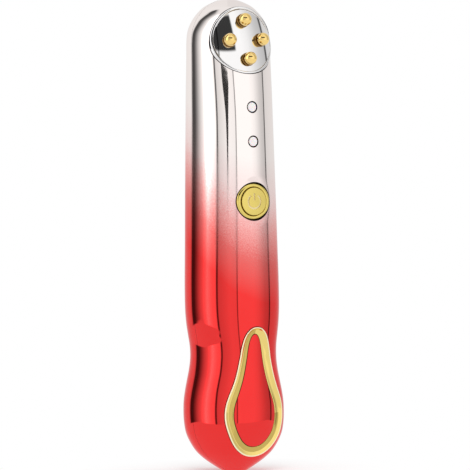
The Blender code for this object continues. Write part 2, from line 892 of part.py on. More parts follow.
def charge_shelf():
    """Two ledges on the rear shell that carry the charging board."""
    top = charge_board_base() - GAP
    ledges = []
    for sign in (-1, 1):
        sides = sorted((sign * SHELF_INNER, sign * SHELF_OUTER))
        low = (sides[0], SHELF_FRONT, top - SHELF_HEIGHT)
        high = (sides[1], BODY_RADIUS, top)
        ledges.append(box("ledge", low, high))
    return inside_skin(join("charge_shelf", ledges))


def stadium(name, half_width, half_height, front, rear):
    """A flat-sided oval bar along Y."""
    points = []
    count = SOCKET_SIDES
    straight = half_width - half_height
    for depth in (front, rear):
        for i in range(count):
            turn = 2 * math.pi * (i + 0.5) / count
            shift = straight if math.cos(turn) > 0 else -straight
            side = half_height * math.cos(turn) + shift
            points.append((side, depth, SOCKET_HEIGHT + half_height * math.sin(turn)))
    faces = [tuple(range(count)), tuple(reversed(range(count, 2 * count)))]
    for i in range(count):
        j = (i + 1) % count
        faces.append((i, i + count, j + count, j))
    return mesh_object(name, points, faces)


def rear_shell():
    shell = body_form("rear_shell", 0)
    boolean(shell, parting_slab("rear_cut", GAP), "DIFFERENCE")
    rebate = body_form("rear_rebate", LAP_SINK - GAP)
    boolean(rebate, parting_slab("rear_rebate_end", LAP_LENGTH + GAP), "INTERSECT")
    boolean(shell, rebate, "DIFFERENCE")
    boolean(shell, CAVITY, "DIFFERENCE")
    boolean(shell, rear_bosses(), "UNION")
    boolean(shell, charge_shelf(), "UNION")
    boolean(shell, boss_holes(), "DIFFERENCE")
    opening = stadium(
        "socket_opening",
        SOCKET_HALF_WIDTH + GAP,
        SOCKET_HALF_HEIGHT + GAP,
        SOCKET_BACK,
        2 * BODY_RADIUS,
    )
    boolean(shell, opening, "DIFFERENCE")
    return into_wand(show(settle(shell)), red_chrome("rear_shell"))


def head_ring():
    outer = RING_RADIUS
    inner = RING_RADIUS - RING_WIDTH
    foot = -PLATE_THICKNESS
    edge = RING_EDGE
    profile = (
        (inner, RING_PROUD - edge),
        (inner + edge / 3, RING_PROUD - edge / 3),
        (inner + edge, RING_PROUD),
        (outer - edge, RING_PROUD),
        (outer - edge / 3, RING_PROUD - edge / 3),
        (outer, RING_PROUD - edge),
        (outer, foot),
        (inner, foot),
    )
    ring = bent(lathe("head_ring", profile, PLATE_SIDES))
    return into_wand(show(ring), silver_chrome("head_ring"))


def head_plate():
    radius = RING_RADIUS - RING_WIDTH - GAP
    edge = PLATE_EDGE
    face = flat_rings(0, radius - edge, PLATE_RINGS)
    profile = [(r, 0) for r in face] + [(radius, -edge), (radius, -PLATE_THICKNESS)]
    profile += [(r, -PLATE_THICKNESS) for r in reversed(face[:-1])]
    plate = bent(lathe("head_plate", profile, PLATE_SIDES))
    for name, frame in pin_frames().items():
        hole = rod(f"pin_hole_{name}", BUSH_RADIUS + GAP, -2 * PLATE_THICKNESS, BALL_RADIUS, PIN_SIDES)
        hole.matrix_world = frame
        boolean(plate, hole, "DIFFERENCE")
    return into_wand(show(settle(plate)), silver_chrome("head_plate"))


def head_seal():
    top = -(PLATE_THICKNESS + GAP)
    seal = bent(tube("head_seal", SEAL_INNER, SEAL_OUTER, top - SEAL_THICKNESS, top, HEAD_SIDES))
    return into_wand(show(seal), rubber("head_seal", 0.08))


def electrodes():
    """Turned pins: a ball, a short neck, a flange against the plate and a shank through it."""
    neck_turn = math.asin(NECK_RADIUS / BALL_RADIUS)
    profile = [(0, BALL_LIFT + BALL_RADIUS)]
    for i in range(1, BALL_STEPS + 1):
        turn = (math.pi - neck_turn) * i / BALL_STEPS
        profile.append((BALL_RADIUS * math.sin(turn), BALL_LIFT + BALL_RADIUS * math.cos(turn)))
    profile += [
        (FLANGE_RADIUS - FLANGE_THICKNESS / 2, GAP + FLANGE_THICKNESS),
        (FLANGE_RADIUS, GAP + FLANGE_THICKNESS / 2),
        (FLANGE_RADIUS, GAP),
        (SHANK_RADIUS, GAP),
        (SHANK_RADIUS, -SHANK_END),
        (0, -SHANK_END),
    ]
    for name, frame in pin_frames().items():
        pin = lathe(f"electrode_{name}", profile, PIN_SIDES)
        pin.matrix_world = frame
        into_wand(show(pin), gold(f"electrode_{name}", 0.16))


def one_per_pin(name, make, paint):
    for place, frame in pin_frames().items():
        piece = make(f"{name}_{place}")
        piece.matrix_world = frame
        into_wand(show(piece), paint(piece.name))


def bush_collar_top():
    """Two gaps below the plate, because the flat collar sits under a bent plate."""
    return PLATE_THICKNESS + 2 * GAP


def bush_foot():
    return bush_collar_top() + BUSH_COLLAR


def bush(name):
    hole = SHANK_RADIUS + GAP
    profile = (
        (hole, 0),
        (BUSH_RADIUS, 0),
        (BUSH_RADIUS, -bush_collar_top()),
        (BUSH_COLLAR_RADIUS, -bush_collar_top()),
        (BUSH_COLLAR_RADIUS, -bush_foot()),
        (hole, -bush_foot()),
    )
    return lathe(name, profile, PIN_SIDES)


def lug(name):
    top = -(bush_foot() + GAP)
    ring = tube(name, SHANK_RADIUS + GAP, LUG_RADIUS, top - LUG_THICKNESS, top, PIN_SIDES)
    low = (-LUG_TAB_WIDTH / 2, -(LUG_RADIUS + LUG_TAB_LENGTH), top - LUG_THICKNESS)
    high = (LUG_TAB_WIDTH / 2, -(LUG_RADIUS + SHANK_RADIUS) / 2, top)
    boolean(ring, box("lug_tab", low, high), "UNION")
    return settle(ring)


def nut_top():
    return -(bush_foot() + LUG_THICKNESS + 2 * GAP)


def nut(name):
    body = rod(name, NUT_RADIUS, nut_top() - NUT_THICKNESS, nut_top(), 6)
    hole = rod("nut_hole", SHANK_RADIUS + GAP, nut_top() - 2 * NUT_THICKNESS, 0, PIN_SIDES)
    boolean(body, hole, "DIFFERENCE")
    return settle(body)


def electrode_fasteners():
    one_per_pin("electrode_bush", bush, white_plastic)
    one_per_pin("electrode_lug", lug, bare_metal)
    one_per_pin("electrode_nut", nut, bare_metal)


def button_bezel():
    outer = BEZEL_RADIUS
    inner = CAP_RADIUS + GAP
    edge = BEZEL_EDGE
    profile = (
        (inner, BEZEL_FACE - edge / 2),
        (inner + edge / 2, BEZEL_FACE),
        (outer - 2 * edge, BEZEL_FACE),
        (outer - edge / 2, BEZEL_FACE - edge / 2),
        (outer, BEZEL_FACE - 3 * edge / 2),
        (outer, BEZEL_BACK),
        (inner, BEZEL_BACK),
    )
    bezel = facing_front(lathe("button_bezel", profile, BUTTON_SIDES), 0, BUTTON_HEIGHT)
    return into_wand(show(bezel), gold("button_bezel", 0.3))


def button_seal():
    inner = CAP_RADIUS + 2 * GAP
    outer = BEZEL_RADIUS - GAP
    seal = tube("button_seal", inner, outer, BUTTON_FLOOR + GAP, BEZEL_BACK - GAP, BUTTON_SIDES)
    return into_wand(show(facing_front(seal, 0, BUTTON_HEIGHT)), rubber("button_seal", 0.1))


def symbol_cutter():
    """The power sign: an open ring and a bar, as one engraving tool."""
    half = SYMBOL_STROKE / 2
    low = -SYMBOL_DEPTH
    high = CAP_CROWN + SYMBOL_DEPTH
    count = SYMBOL_STEPS
    points = []
    faces = []
    for i in range(count + 1):
        turn = SYMBOL_OPENING + (2 * math.pi - 2 * SYMBOL_OPENING) * i / count
        for radius, height in (
            (SYMBOL_RADIUS - half, low),
            (SYMBOL_RADIUS + half, low),
            (SYMBOL_RADIUS + half, high),
            (SYMBOL_RADIUS - half, high),
        ):
            points.append((radius * math.sin(turn), radius * math.cos(turn), height))
    for i in range(count):
        for k in range(4):
            m = (k + 1) % 4
            faces.append((4 * i + k, 4 * i + m, 4 * i + 4 + m, 4 * i + 4 + k))
    faces.append((3, 2, 1, 0))
    faces.append((4 * count, 4 * count + 1, 4 * count + 2, 4 * count + 3))
    arc = mesh_object("symbol_arc", points, faces)
    bar = box("symbol_bar", (-half, SYMBOL_BAR_FOOT, low), (half, SYMBOL_BAR_TOP, high))
    return join("symbol", [arc, bar])


def button_cap():
    """The moving cap, with its origin on the line along which it is pressed."""
    flange_top = BUTTON_FLOOR - BUTTON_SEAT_THICKNESS - GAP - CAP_FACE
    profile = [
        (0, CAP_CROWN),
        (CAP_RADIUS / 2, 3 * CAP_CROWN / 4),
        (CAP_RADIUS - CAP_EDGE, 0),
        (CAP_RADIUS, -CAP_EDGE),
        (CAP_RADIUS, flange_top),
        (CAP_FLANGE_RADIUS, flange_top),
        (CAP_FLANGE_RADIUS, flange_top - CAP_FLANGE),
        (0, flange_top - CAP_FLANGE),
    ]
    cap = lathe("button_cap", profile, BUTTON_SIDES)
    boolean(cap, symbol_cutter(), "DIFFERENCE")
    settle(cap)
    facing_front(cap, 0, BUTTON_HEIGHT)
    cap.location.y = -CAP_FACE
    return into_wand(show(cap), gold("button_cap", 0.28))


def light_guides():
    for name, height in zip(("light_guide_lower", "light_guide_upper"), LIGHT_HEIGHTS):
        profile = (
            (0, EVER),
            (LIGHT_RADIUS, EVER),
            (LIGHT_RADIUS, LIGHT_FLANGE_FACE),
            (LIGHT_FLANGE_RADIUS, LIGHT_FLANGE_FACE),
            (LIGHT_FLANGE_RADIUS, LIGHT_FLANGE_FACE - LIGHT_FLANGE),
            (LIGHT_RADIUS, LIGHT_FLANGE_FACE - LIGHT_FLANGE),
            (LIGHT_RADIUS, LIGHT_BACK),
            (0, LIGHT_BACK),
        )
        guide = facing_front(lathe(name, profile, LIGHT_SIDES), 0, height)
        boolean(guide, SKIN, "INTERSECT")
        settle(guide)
        clear = new_material(name, (0.92, 0.9, 0.9), 0.35, 0.0, 0.4)
        into_wand(show(guide), clear)


def trim():
    section = [
        (across * TRIM_BAND, lift * TRIM_PROUD) for across, lift in TRIM_SECTION_SHARES
    ]
    return into_wand(show(trim_band("teardrop_trim", section)), gold("teardrop_trim", 0.14))


def half_clip(name, behind, radius, foot, length):
    """A ring that grips a round body, open at the rear."""
    clip = tube(name, radius, radius + CLIP_WALL, foot, foot + length, CLIP_SIDES)
    clip.location = (0, behind, 0)
    mouth_front = radius * CLIP_OPEN_SHARE
    mouth = box(
        f"{name}_mouth",
        (-2 * radius, mouth_front, foot - length),
        (2 * radius, 2 * radius, foot + 2 * length),
    )
    mouth.location = (0, behind, 0)
    boolean(clip, mouth, "DIFFERENCE")
    return clip


def inner_frame():
    """The spine that carries the board in front and the battery and motor behind."""
    low = (-FRAME_HALF_WIDTH, -FRAME_FRONT, FRAME_FOOT)
    high = (FRAME_HALF_WIDTH, -(FRAME_FRONT - FRAME_THICKNESS), FRAME_TOP)
    frame = box("inner_frame", low, high)
    rear = FRAME_FRONT - FRAME_THICKNESS
    for number, (side, height) in enumerate(screw_places(FRAME_SCREWS)):
        ear = rod(f"ear_{number}", FRAME_EAR_RADIUS, rear, FRAME_FRONT, BOSS_SIDES)
        boolean(frame, facing_front(ear, side, height), "UNION")
    for number, (side, height) in enumerate(BOARD_SCREWS):
        face = BOARD_FRONT - BOARD_THICKNESS - GAP
        boss = rod(f"board_boss_{number}", BOARD_BOSS_RADIUS, BOARD_BOSS_BACK, face, BOSS_SIDES)
        boolean(frame, facing_front(boss, side, height), "UNION")
    for number, foot in enumerate(BATTERY_CLIPS):
        clip = half_clip(f"battery_clip_{number}", BATTERY_BEHIND, BATTERY_RADIUS + GAP, foot, CLIP_LENGTH)
        boolean(frame, clip, "UNION")
    sleeve = MOTOR_RADIUS + GAP + SLEEVE_WALL + GAP
    for number, foot in enumerate(MOTOR_CLIPS):
        clip = half_clip(f"motor_clip_{number}", motor_behind(), sleeve, foot, CLIP_LENGTH)
        boolean(frame, clip, "UNION")
    window = box(
        "wire_window",
        (-WINDOW_HALF_WIDTH, -2 * FRAME_FRONT, WINDOW_FOOT),
        (WINDOW_HALF_WIDTH, 0, WINDOW_TOP),
    )
    boolean(frame, window, "DIFFERENCE")
    holes = []
    for side, height in screw_places(FRAME_SCREWS):
        hole = rod("hole", SCREW_SHANK_RADIUS + GAP, 0, 2 * FRAME_FRONT, BOSS_SIDES)
        holes.append(facing_front(hole, side, height))
    for side, height in BOARD_SCREWS:
        hole = rod("hole", BOARD_HOLE_RADIUS, board_screw_end() - GAP, 2 * FRAME_FRONT, BOSS_SIDES)
        holes.append(facing_front(hole, side, height))
    boolean(frame, join("frame_holes", holes), "DIFFERENCE")
    return into_wand(show(settle(frame)), dark_plastic("inner_frame"))


def motor_behind():
    """The motor's axis stands so far back that its clips meet the spine."""
    radius = MOTOR_RADIUS + 2 * GAP + SLEEVE_WALL
    return radius + GAP - (FRAME_FRONT - FRAME_THICKNESS) + CLIP_WALL / 2


def board_screw_end():
    return BOARD_FRONT + GAP - BOARD_SCREW_LENGTH


def screw(name, face, length, side, height):
    """A round-headed cross-recess screw with its head in front."""
    top = face + SCREW_HEAD
    profile = (
        (0, top),
        (SCREW_HEAD_RADIUS / 2, top - SCREW_HEAD / 8),
        (SCREW_HEAD_RADIUS, face + SCREW_HEAD / 3),
        (SCREW_HEAD_RADIUS, face),
        (SCREW_SHANK_RADIUS, face),
        (SCREW_SHANK_RADIUS, face - length + SCREW_SHANK_RADIUS),
        (0, face - length),
    )
    body = lathe(name, profile, BOSS_SIDES)
    half = CROSS_WIDTH / 2
    reach = CROSS_LENGTH / 2
    floor = top - CROSS_DEPTH
    one = box("slot", (-reach, -half, floor), (reach, half, 2 * top))
    two = box("slot", (-half, -reach, floor), (half, reach, 2 * top))
    boolean(one, two, "UNION")
    boolean(body, one, "DIFFERENCE")
    settle(body)
    return facing_front(body, side, height)


def frame_screws():
    for number, (side, height) in enumerate(screw_places(FRAME_SCREWS), 1):
        name = f"frame_screw_{number}"
        piece = screw(name, FRAME_FRONT + GAP, SCREW_LENGTH, side, height)
        into_wand(show(piece), bare_metal(name))


def board_screws():
    for number, (side, height) in enumerate(BOARD_SCREWS, 1):
        name = f"board_screw_{number}"
        piece = screw(name, BOARD_FRONT + GAP, BOARD_SCREW_LENGTH, side, height)
        into_wand(show(piece), bare_metal(name))


def battery():
    edge = BATTERY_EDGE
    radius = BATTERY_RADIUS
    profile = (
        (0, BATTERY_TOP + TERMINAL),
        (TERMINAL_RADIUS, BATTERY_TOP + TERMINAL),
        (TERMINAL_RADIUS, BATTERY_TOP),
        (radius - edge, BATTERY_TOP),
        (radius, BATTERY_TOP - edge),
        (radius, BATTERY_FOOT + edge),
        (radius - edge, BATTERY_FOOT),
        (0, BATTERY_FOOT),
    )
    cell = lathe("battery", profile, BATTERY_SIDES)
    cell.location = (0, BATTERY_BEHIND, 0)
    return into_wand(show(cell), new_material("battery", (0.04, 0.16, 0.42), 0.4, 0.0))


def battery_pad():
    """Foam between the battery and the spine, hollowed to the battery's round side."""
    front = FRAME_FRONT - FRAME_THICKNESS - GAP
    pad = box(
        "battery_pad",
        (-PAD_HALF_WIDTH, -front, PAD_FOOT),
        (PAD_HALF_WIDTH, BATTERY_BEHIND - BATTERY_RADIUS, PAD_TOP),
    )
    clear = rod("pad_hollow", BATTERY_RADIUS + GAP, 0, LENGTH, BATTERY_SIDES)
    clear.location = (0, BATTERY_BEHIND, 0)
    boolean(pad, clear, "DIFFERENCE")
    return into_wand(show(settle(pad)), rubber("battery_pad", 0.3))


def motor():
    radius = MOTOR_RADIUS
    profile = (
        (0, MOTOR_TOP + MOTOR_NECK),
        (MOTOR_NECK_RADIUS, MOTOR_TOP + MOTOR_NECK),
        (MOTOR_NECK_RADIUS, MOTOR_TOP),
        (radius - BATTERY_EDGE, MOTOR_TOP),
        (radius, MOTOR_TOP - BATTERY_EDGE),
        (radius, MOTOR_FOOT + BATTERY_EDGE),
        (radius - BATTERY_EDGE, MOTOR_FOOT),
        (0, MOTOR_FOOT),
    )
    body = lathe("motor_body", profile, MOTOR_SIDES)
    bore = rod("motor_bore", MOTOR_SHAFT_RADIUS + GAP / 4, MOTOR_TOP - 2 * MOTOR_NECK, EVER, PIN_SIDES)
    boolean(body, bore, "DIFFERENCE")
    settle(body)
    body.location = (0, motor_behind(), 0)
    into_wand(show(body), bare_metal("motor_body"))
    inner = MOTOR_RADIUS + GAP
    sleeve = tube("motor_sleeve", inner, inner + SLEEVE_WALL, SLEEVE_FOOT, SLEEVE_TOP, MOTOR_SIDES)
    sleeve.location = (0, motor_behind(), 0)
    into_wand(show(sleeve), rubber("motor_sleeve", 0.06))


def motor_weight():
    """Half a disc on the motor's shaft, with its origin on the shaft's axis."""
    disc = rod("motor_weight", WEIGHT_RADIUS, WEIGHT_FOOT, WEIGHT_TOP, MOTOR_SIDES)
    side = box("weight_side", (-WEIGHT_RADIUS * 2, -WEIGHT_RADIUS * 2, 0), (WEIGHT_RADIUS * 2, 0, LENGTH))
    boolean(disc, side, "DIFFERENCE")
    hub = rod("weight_hub", WEIGHT_HUB_RADIUS, WEIGHT_FOOT - GAP / 2, WEIGHT_TOP + GAP / 2, PIN_SIDES)
    boolean(disc, hub, "UNION")
    shaft_foot = MOTOR_TOP - 2 * MOTOR_NECK + GAP
    shaft = rod("weight_shaft", MOTOR_SHAFT_RADIUS, shaft_foot, WEIGHT_TOP + GAP, PIN_SIDES)
    boolean(disc, shaft, "UNION")
    settle(disc)
    disc.location = (0, motor_behind(), 0)
    return into_wand(show(disc), new_material("motor_weight", (0.36, 0.35, 0.34), 0.35, 1.0))


def main_board():
    low = (-BOARD_HALF_WIDTH, -BOARD_FRONT, BOARD_FOOT)
    high = (BOARD_HALF_WIDTH, -(BOARD_FRONT - BOARD_THICKNESS), BOARD_TOP)
    board = box("main_board", low, high)
    for number, (side, height) in enumerate(BOARD_SCREWS):
        hole = rod(f"board_hole_{number}", BOARD_HOLE_RADIUS, 0, 2 * BOARD_FRONT, BOSS_SIDES)
        boolean(board, facing_front(hole, side, height), "DIFFERENCE")
    into_wand(show(settle(board)), board_green("main_board"))
    back = BOARD_FRONT + GAP
    for (name, side, width, tall, thick), share in zip(CHIPS, CHIP_HEIGHT_SHARES):
        height = BUTTON_HEIGHT + (HEAD_HEIGHT - BUTTON_HEIGHT) * share
        low = (side - width / 2, -(back + thick), height - tall / 2)
        high = (side + width / 2, -back, height + tall / 2)
        into_wand(show(box(name, low, high)), dark_plastic(name))
    for name, height in zip(("led_lower", "led_upper"), LIGHT_HEIGHTS):
        half = LED_SIDE / 2
        low = (-half, -LED_FACE, height - half)
        high = (half, -back, height + half)
        into_wand(show(box(name, low, high)), new_material(name, (0.9, 0.88, 0.7), 0.3, 0.0))


def button_switch():
    half = SWITCH_SIDE / 2
    low = (-half, -SWITCH_FACE, BUTTON_HEIGHT - half)
    high = (half, -(BOARD_FRONT + GAP), BUTTON_HEIGHT + half)
    body = box("switch_body", low, high)
    bevel = body.modifiers.new("edges", "BEVEL")
    bevel.width = SWITCH_EDGE
    bevel.segments = 1
    well = rod("switch_well", PLUNGER_RADIUS + GAP, SWITCH_WELL_FLOOR, 2 * SWITCH_FACE, PIN_SIDES)
    boolean(body, facing_front(well, 0, BUTTON_HEIGHT), "DIFFERENCE")
    into_wand(show(settle(body)), bare_metal("switch_body"))
    foot = SWITCH_WELL_FLOOR + CAP_TRAVEL + GAP
    plunger = rod("switch_plunger", PLUNGER_RADIUS, foot - PLUNGER_FACE, 0, PIN_SIDES)
    facing_front(plunger, 0, BUTTON_HEIGHT)
    plunger.location.y = -PLUNGER_FACE
    into_wand(show(plunger), dark_plastic("switch_plunger"))


def charging_socket():
    """A flat oval metal socket, open to the rear, round a thin contact tongue."""
    shell = stadium("charge_socket", SOCKET_HALF_WIDTH, SOCKET_HALF_HEIGHT, SOCKET_BACK, SOCKET_MOUTH)
    hollow = stadium(
        "socket_hollow",
        SOCKET_HALF_WIDTH - SOCKET_WALL,
        SOCKET_HALF_HEIGHT - SOCKET_WALL,
        SOCKET_BACK + SOCKET_END_WALL,
        2 * SOCKET_MOUTH,
    )
    boolean(shell, hollow, "DIFFERENCE")
    low = (-TONGUE_HALF_WIDTH, SOCKET_BACK + SOCKET_END_WALL / 2, SOCKET_HEIGHT - TONGUE_HALF_HEIGHT)
    high = (TONGUE_HALF_WIDTH, TONGUE_END, SOCKET_HEIGHT + TONGUE_HALF_HEIGHT)
    boolean(shell, box("socket_tongue", low, high), "UNION")
    into_wand(show(settle(shell)), bare_metal("charge_socket"))
    base = charge_board_base()
    low = (-CHARGE_BOARD_HALF_WIDTH, CHARGE_BOARD_FRONT, base)
    high = (CHARGE_BOARD_HALF_WIDTH, CHARGE_BOARD_REAR, base + CHARGE_BOARD_THICKNESS)
    into_wand(show(box("charge_board", low, high)), board_green("charge_board"))


def rounded(stops):
    """Straight runs between the stops, with the corners rounded off."""
    run = [stops[0]]
    for before, corner, after in zip(stops, stops[1:], stops[2:]):
        back = before - corner
        ahead = after - corner
        start = corner + back.normalized() * min(BEND_REACH, back.length * BEND_SHARE)
        end = corner + ahead.normalized() * min(BEND_REACH, ahead.length * BEND_SHARE)
        for step in range(BEND_STEPS + 1):
            share = step / BEND_STEPS
            first = start.lerp(corner, share)
            second = corner.lerp(end, share)
            run.append(first.lerp(second, share))
    return run + [stops[-1]]


def wire(name, stops):
    """A round wire along the stops, closed at both ends."""
    curve = bpy.data.curves.new(name, "CURVE")
    curve.dimensions = "3D"
    curve.bevel_depth = WIRE_RADIUS
    curve.bevel_resolution = 2
    curve.use_fill_caps = True
    course = rounded(stops)
    run = curve.splines.new("POLY")
    run.points.add(len(course) - 1)
    for point, place in zip(run.points, course):
        point.co = (*place, 1)
    thing = bpy.data.objects.new(name, curve)
    CUTTERS.objects.link(thing)
    return thing


def board_end(side):
    """The last stops of a lead: through the window, up in front and onto the board."""
    middle = (WINDOW_FOOT + WINDOW_TOP) / 2
    touch = BOARD_FRONT + GAP + WIRE_RADIUS
    return [
        Vector((side, -(FRAME_FRONT - FRAME_THICKNESS), middle)),
        Vector((side, -touch, BOARD_FOOT - LEAD_RISE / 2)),
        Vector((side, -touch, BOARD_FOOT + SOLDER_UP)),
    ]


def battery_leads():
    over = BATTERY_TOP + TERMINAL + GAP + WIRE_RADIUS
    for name, side, colour, back in (
        ("battery_lead_red", BATTERY_LEAD_SIDE, (0.65, 0.03, 0.03), 0),
        ("battery_lead_black", -BATTERY_LEAD_SIDE, (0.03, 0.03, 0.03), BATTERY_RADIUS / 2),
    ):
        stops = [Vector((side, BATTERY_BEHIND + back, over))]
        stops.append(Vector((side, 0, over + WIRE_RADIUS)))
        into_wand(show(wire(name, stops + board_end(side))), wire_skin(name, colour))


def motor_leads():
    start = MOTOR_FOOT - GAP - WIRE_RADIUS
    behind = motor_behind()
    for name, side in (("motor_lead_left", -MOTOR_LEAD_SIDE), ("motor_lead_right", MOTOR_LEAD_SIDE)):
        stops = [
            Vector((side / 2, behind, start)),
            Vector((side, 0, start - LEAD_RISE)),
            Vector((side, 0, WINDOW_TOP + LEAD_RISE)),
        ]
        into_wand(show(wire(name, stops + board_end(side))), wire_skin(name, (0.1, 0.2, 0.55)))


def charge_leads():
    base = charge_board_base() + CHARGE_BOARD_THICKNESS + GAP + WIRE_RADIUS
    for name, sign in (("charge_lead_left", -1), ("charge_lead_right", 1)):
        side = sign * CHARGE_LEAD_SIDE
        near = sign * (CHARGE_BOARD_HALF_WIDTH - WIRE_RADIUS)
        up = base + 2 * LEAD_RISE
        end = sign * (WINDOW_HALF_WIDTH - 2 * WIRE_RADIUS)
        stops = [
            Vector((near, CHARGE_BOARD_REAR / 2, base)),
            Vector((near, CHARGE_BOARD_FRONT / 2, base)),
            Vector((side, -CHARGE_LEAD_DEPTH, up)),
            Vector((side, -CHARGE_LEAD_DEPTH, WINDOW_FOOT - LEAD_RISE)),
        ]
        into_wand(show(wire(name, stops + board_end(end))), wire_skin(name, (0.75, 0.62, 0.1)))


def electrode_leads():
    touch = BOARD_FRONT + GAP + WIRE_RADIUS
    drop = bush_foot() + GAP + LUG_THICKNESS + GAP + WIRE_RADIUS
    for order, pin in ((-1.5, "left"), (-0.5, "top"), (0.5, "bottom"), (1.5, "right")):
        name = f"electrode_lead_{pin}"
        frame = pin_frames()[pin]
        tab = frame @ Vector((0, -(LUG_RADIUS + LUG_TAB_LENGTH * SOLDER_SHARE), -drop))
        side = order * MOTOR_LEAD_SIDE
        stops = [
            tab,
            Vector(((tab.x + side) / 2, -LEAD_BACK, tab.z - LEAD_RISE)),
            Vector((side, -LEAD_BACK, FRAME_TOP + LEAD_RISE)),
            Vector((side, -touch, BOARD_TOP + LEAD_RISE)),
            Vector((side, -touch, BOARD_TOP - SOLDER_UP)),
        ]
        into_wand(show(wire(name, stops)), wire_skin(name, (0.8, 0.8, 0.78)))


clear_scene()
WAND, CUTTERS = make_collections()
CUTTERS.hide_render = True
SKIN = body_form("skin", 0)
CAVITY = body_form("cavity", WALL, CAVITY_SIDES, CAVITY_ROW_STEPS)
RIB_LIMIT = body_form("rib_limit", RIB_SINK)
front_shell()
rear_shell()
head_ring()
head_plate()
head_seal()
electrodes()
electrode_fasteners()
button_bezel()
button_seal()
button_cap()
light_guides()
trim()
inner_frame()
frame_screws()
board_screws()
battery()
battery_pad()
motor()
motor_weight()
main_board()
button_switch()
charging_socket()
battery_leads()
motor_leads()
charge_leads()
electrode_leads()
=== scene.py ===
import json
import math

import bpy
import numpy as np
from mathutils import Matrix, Vector


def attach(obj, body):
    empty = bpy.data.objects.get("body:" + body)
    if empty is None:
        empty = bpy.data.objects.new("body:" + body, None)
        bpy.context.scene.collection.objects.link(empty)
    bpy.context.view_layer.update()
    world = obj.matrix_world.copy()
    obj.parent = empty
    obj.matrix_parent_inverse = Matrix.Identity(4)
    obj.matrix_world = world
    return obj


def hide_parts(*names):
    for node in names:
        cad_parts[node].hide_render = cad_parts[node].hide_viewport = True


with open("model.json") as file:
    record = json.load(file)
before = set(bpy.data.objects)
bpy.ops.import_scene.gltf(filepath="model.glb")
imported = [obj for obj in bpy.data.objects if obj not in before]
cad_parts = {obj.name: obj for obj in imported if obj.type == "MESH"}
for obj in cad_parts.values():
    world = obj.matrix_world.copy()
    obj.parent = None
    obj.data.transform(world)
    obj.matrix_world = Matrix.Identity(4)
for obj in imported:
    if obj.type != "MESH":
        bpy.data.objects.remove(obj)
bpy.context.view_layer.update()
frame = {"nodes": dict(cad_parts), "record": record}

MM = 0.001
# Farther out than anything on the wand
EVER = 0.5

# Body: the sections of the solids, sampled finely
LENGTH = 0.175
BODY_RADIUS = 0.0187
# The solids' flat facets lie a little inside their sections, and so does this skin
SKIN_FIT = 0.995
# Height as a share of the length; half width, front and rear depth as shares of the radius
BODY_SHARES = (
    (0.000, 0.257, 0.257, 0.257), (0.014, 0.457, 0.457, 0.457),
    (0.027, 0.620, 0.623, 0.623), (0.042, 0.763, 0.770, 0.770),
    (0.061, 0.876, 0.889, 0.889), (0.081, 0.956, 0.971, 0.971),
    (0.103, 0.992, 1.007, 1.007), (0.126, 1.002, 1.017, 1.017),
    (0.149, 0.993, 1.013, 1.012), (0.171, 0.962, 0.991, 0.988),
    (0.194, 0.914, 0.974, 0.961), (0.214, 0.872, 0.964, 0.930),
    (0.233, 0.846, 0.956, 0.901), (0.251, 0.838, 0.956, 0.894),
    (0.270, 0.848, 0.958, 0.910), (0.291, 0.877, 0.965, 0.942),
    (0.317, 0.909, 0.977, 0.973), (0.349, 0.928, 0.984, 0.984),
    (0.400, 0.928, 0.984, 0.984), (0.480, 0.909, 0.977, 0.977),
    (0.571, 0.889, 0.970, 0.970), (0.663, 0.867, 0.958, 0.958),
    (0.743, 0.850, 0.939, 0.939), (0.800, 0.844, 0.911, 0.911),
    (0.846, 0.838, 0.876, 0.876), (0.880, 0.834, 0.851, 0.851),
    (0.911, 0.830, 0.838, 0.838), (0.934, 0.803, 0.807, 0.807),
    (0.954, 0.725, 0.725, 0.725), (0.970, 0.618, 0.618, 0.618),
    (0.984, 0.479, 0.479, 0.479), (0.994, 0.299, 0.299, 0.299),
    (0.999, 0.155, 0.155, 0.155), (1.000, 0.000, 0.000, 0.000),
)
SKIN_SIDES = 192
SKIN_ROWS = 8
LOOKUP_ROWS = 64
CAVITY_SIDES = 48
CAVITY_ROWS = 2
WALL = 0.0022
# Step over which the slope of the front is measured
NUDGE = 0.15 * MM

# A face is skin where it faces as the body does, by this cosine, and lies less deep than this
SKIN_ALIKE = 0.75
DEEP = 0.0014
SKIN_SHARP = 25
# The flat under the foot is plated too
FOOT_FACING = -0.99
FOOT_REACH = 0.05 * MM

# Parting line
PARTING_FRONT = 0.0022
PARTING_LEAN = math.radians(0.9)
SEAM = 0.00005

# Head
HEAD_HEIGHT = 0.1598
HEAD_DEPTH = 0.0127
HEAD_LEAN = math.radians(13.5)
PLATE_BEND = 0.0244
PLATE_CROWN = 0.00035
PLATE_CROWN_RADIUS = 0.075
PLATE_THICKNESS = 0.0016
RING_RADIUS = 0.01285
RING_WIDTH = 0.00095
RING_PROUD = 0.0003
PLATE_CLEAR = 0.00003
PLATE_EDGE = 0.0002
PLATE_FACE_SHARE = 0.985
PLATE_RINGS = 22
PLATE_ALIKE = 0.95
SEAL_INNER = 0.0104
SEAT_DEPTH = 0.0031
SEAT_LEDGE = 0.0018
SEAT_RADIUS = 0.0146
SEAT_SKIN = 0.001
BALL_RADIUS = 0.0024
BALL_LIFT = 0.0021
# Below the ball's middle by this much, the ball gets a painted shade
BALL_PAINTED_SHADE_DROP = 0.0005
PIN_CIRCLE_UP = 0.00735
PIN_CIRCLE_SIDE = 0.00637
FLANGE_RADIUS = 0.0026
FLANGE_THICKNESS = 0.00045
NECK_RADIUS = 0.002
FLANGE_LIFT = 0.0003
PIN_EDGE = 0.0001
SHANK_RADIUS = 0.0009
SHANK_END = 0.0062
BALL_STEPS = 26
PIN_HOLE_RADIUS = 0.0021
PIN_HOLE_FRONT = 0.003
PIN_HOLE_BACK = 0.004

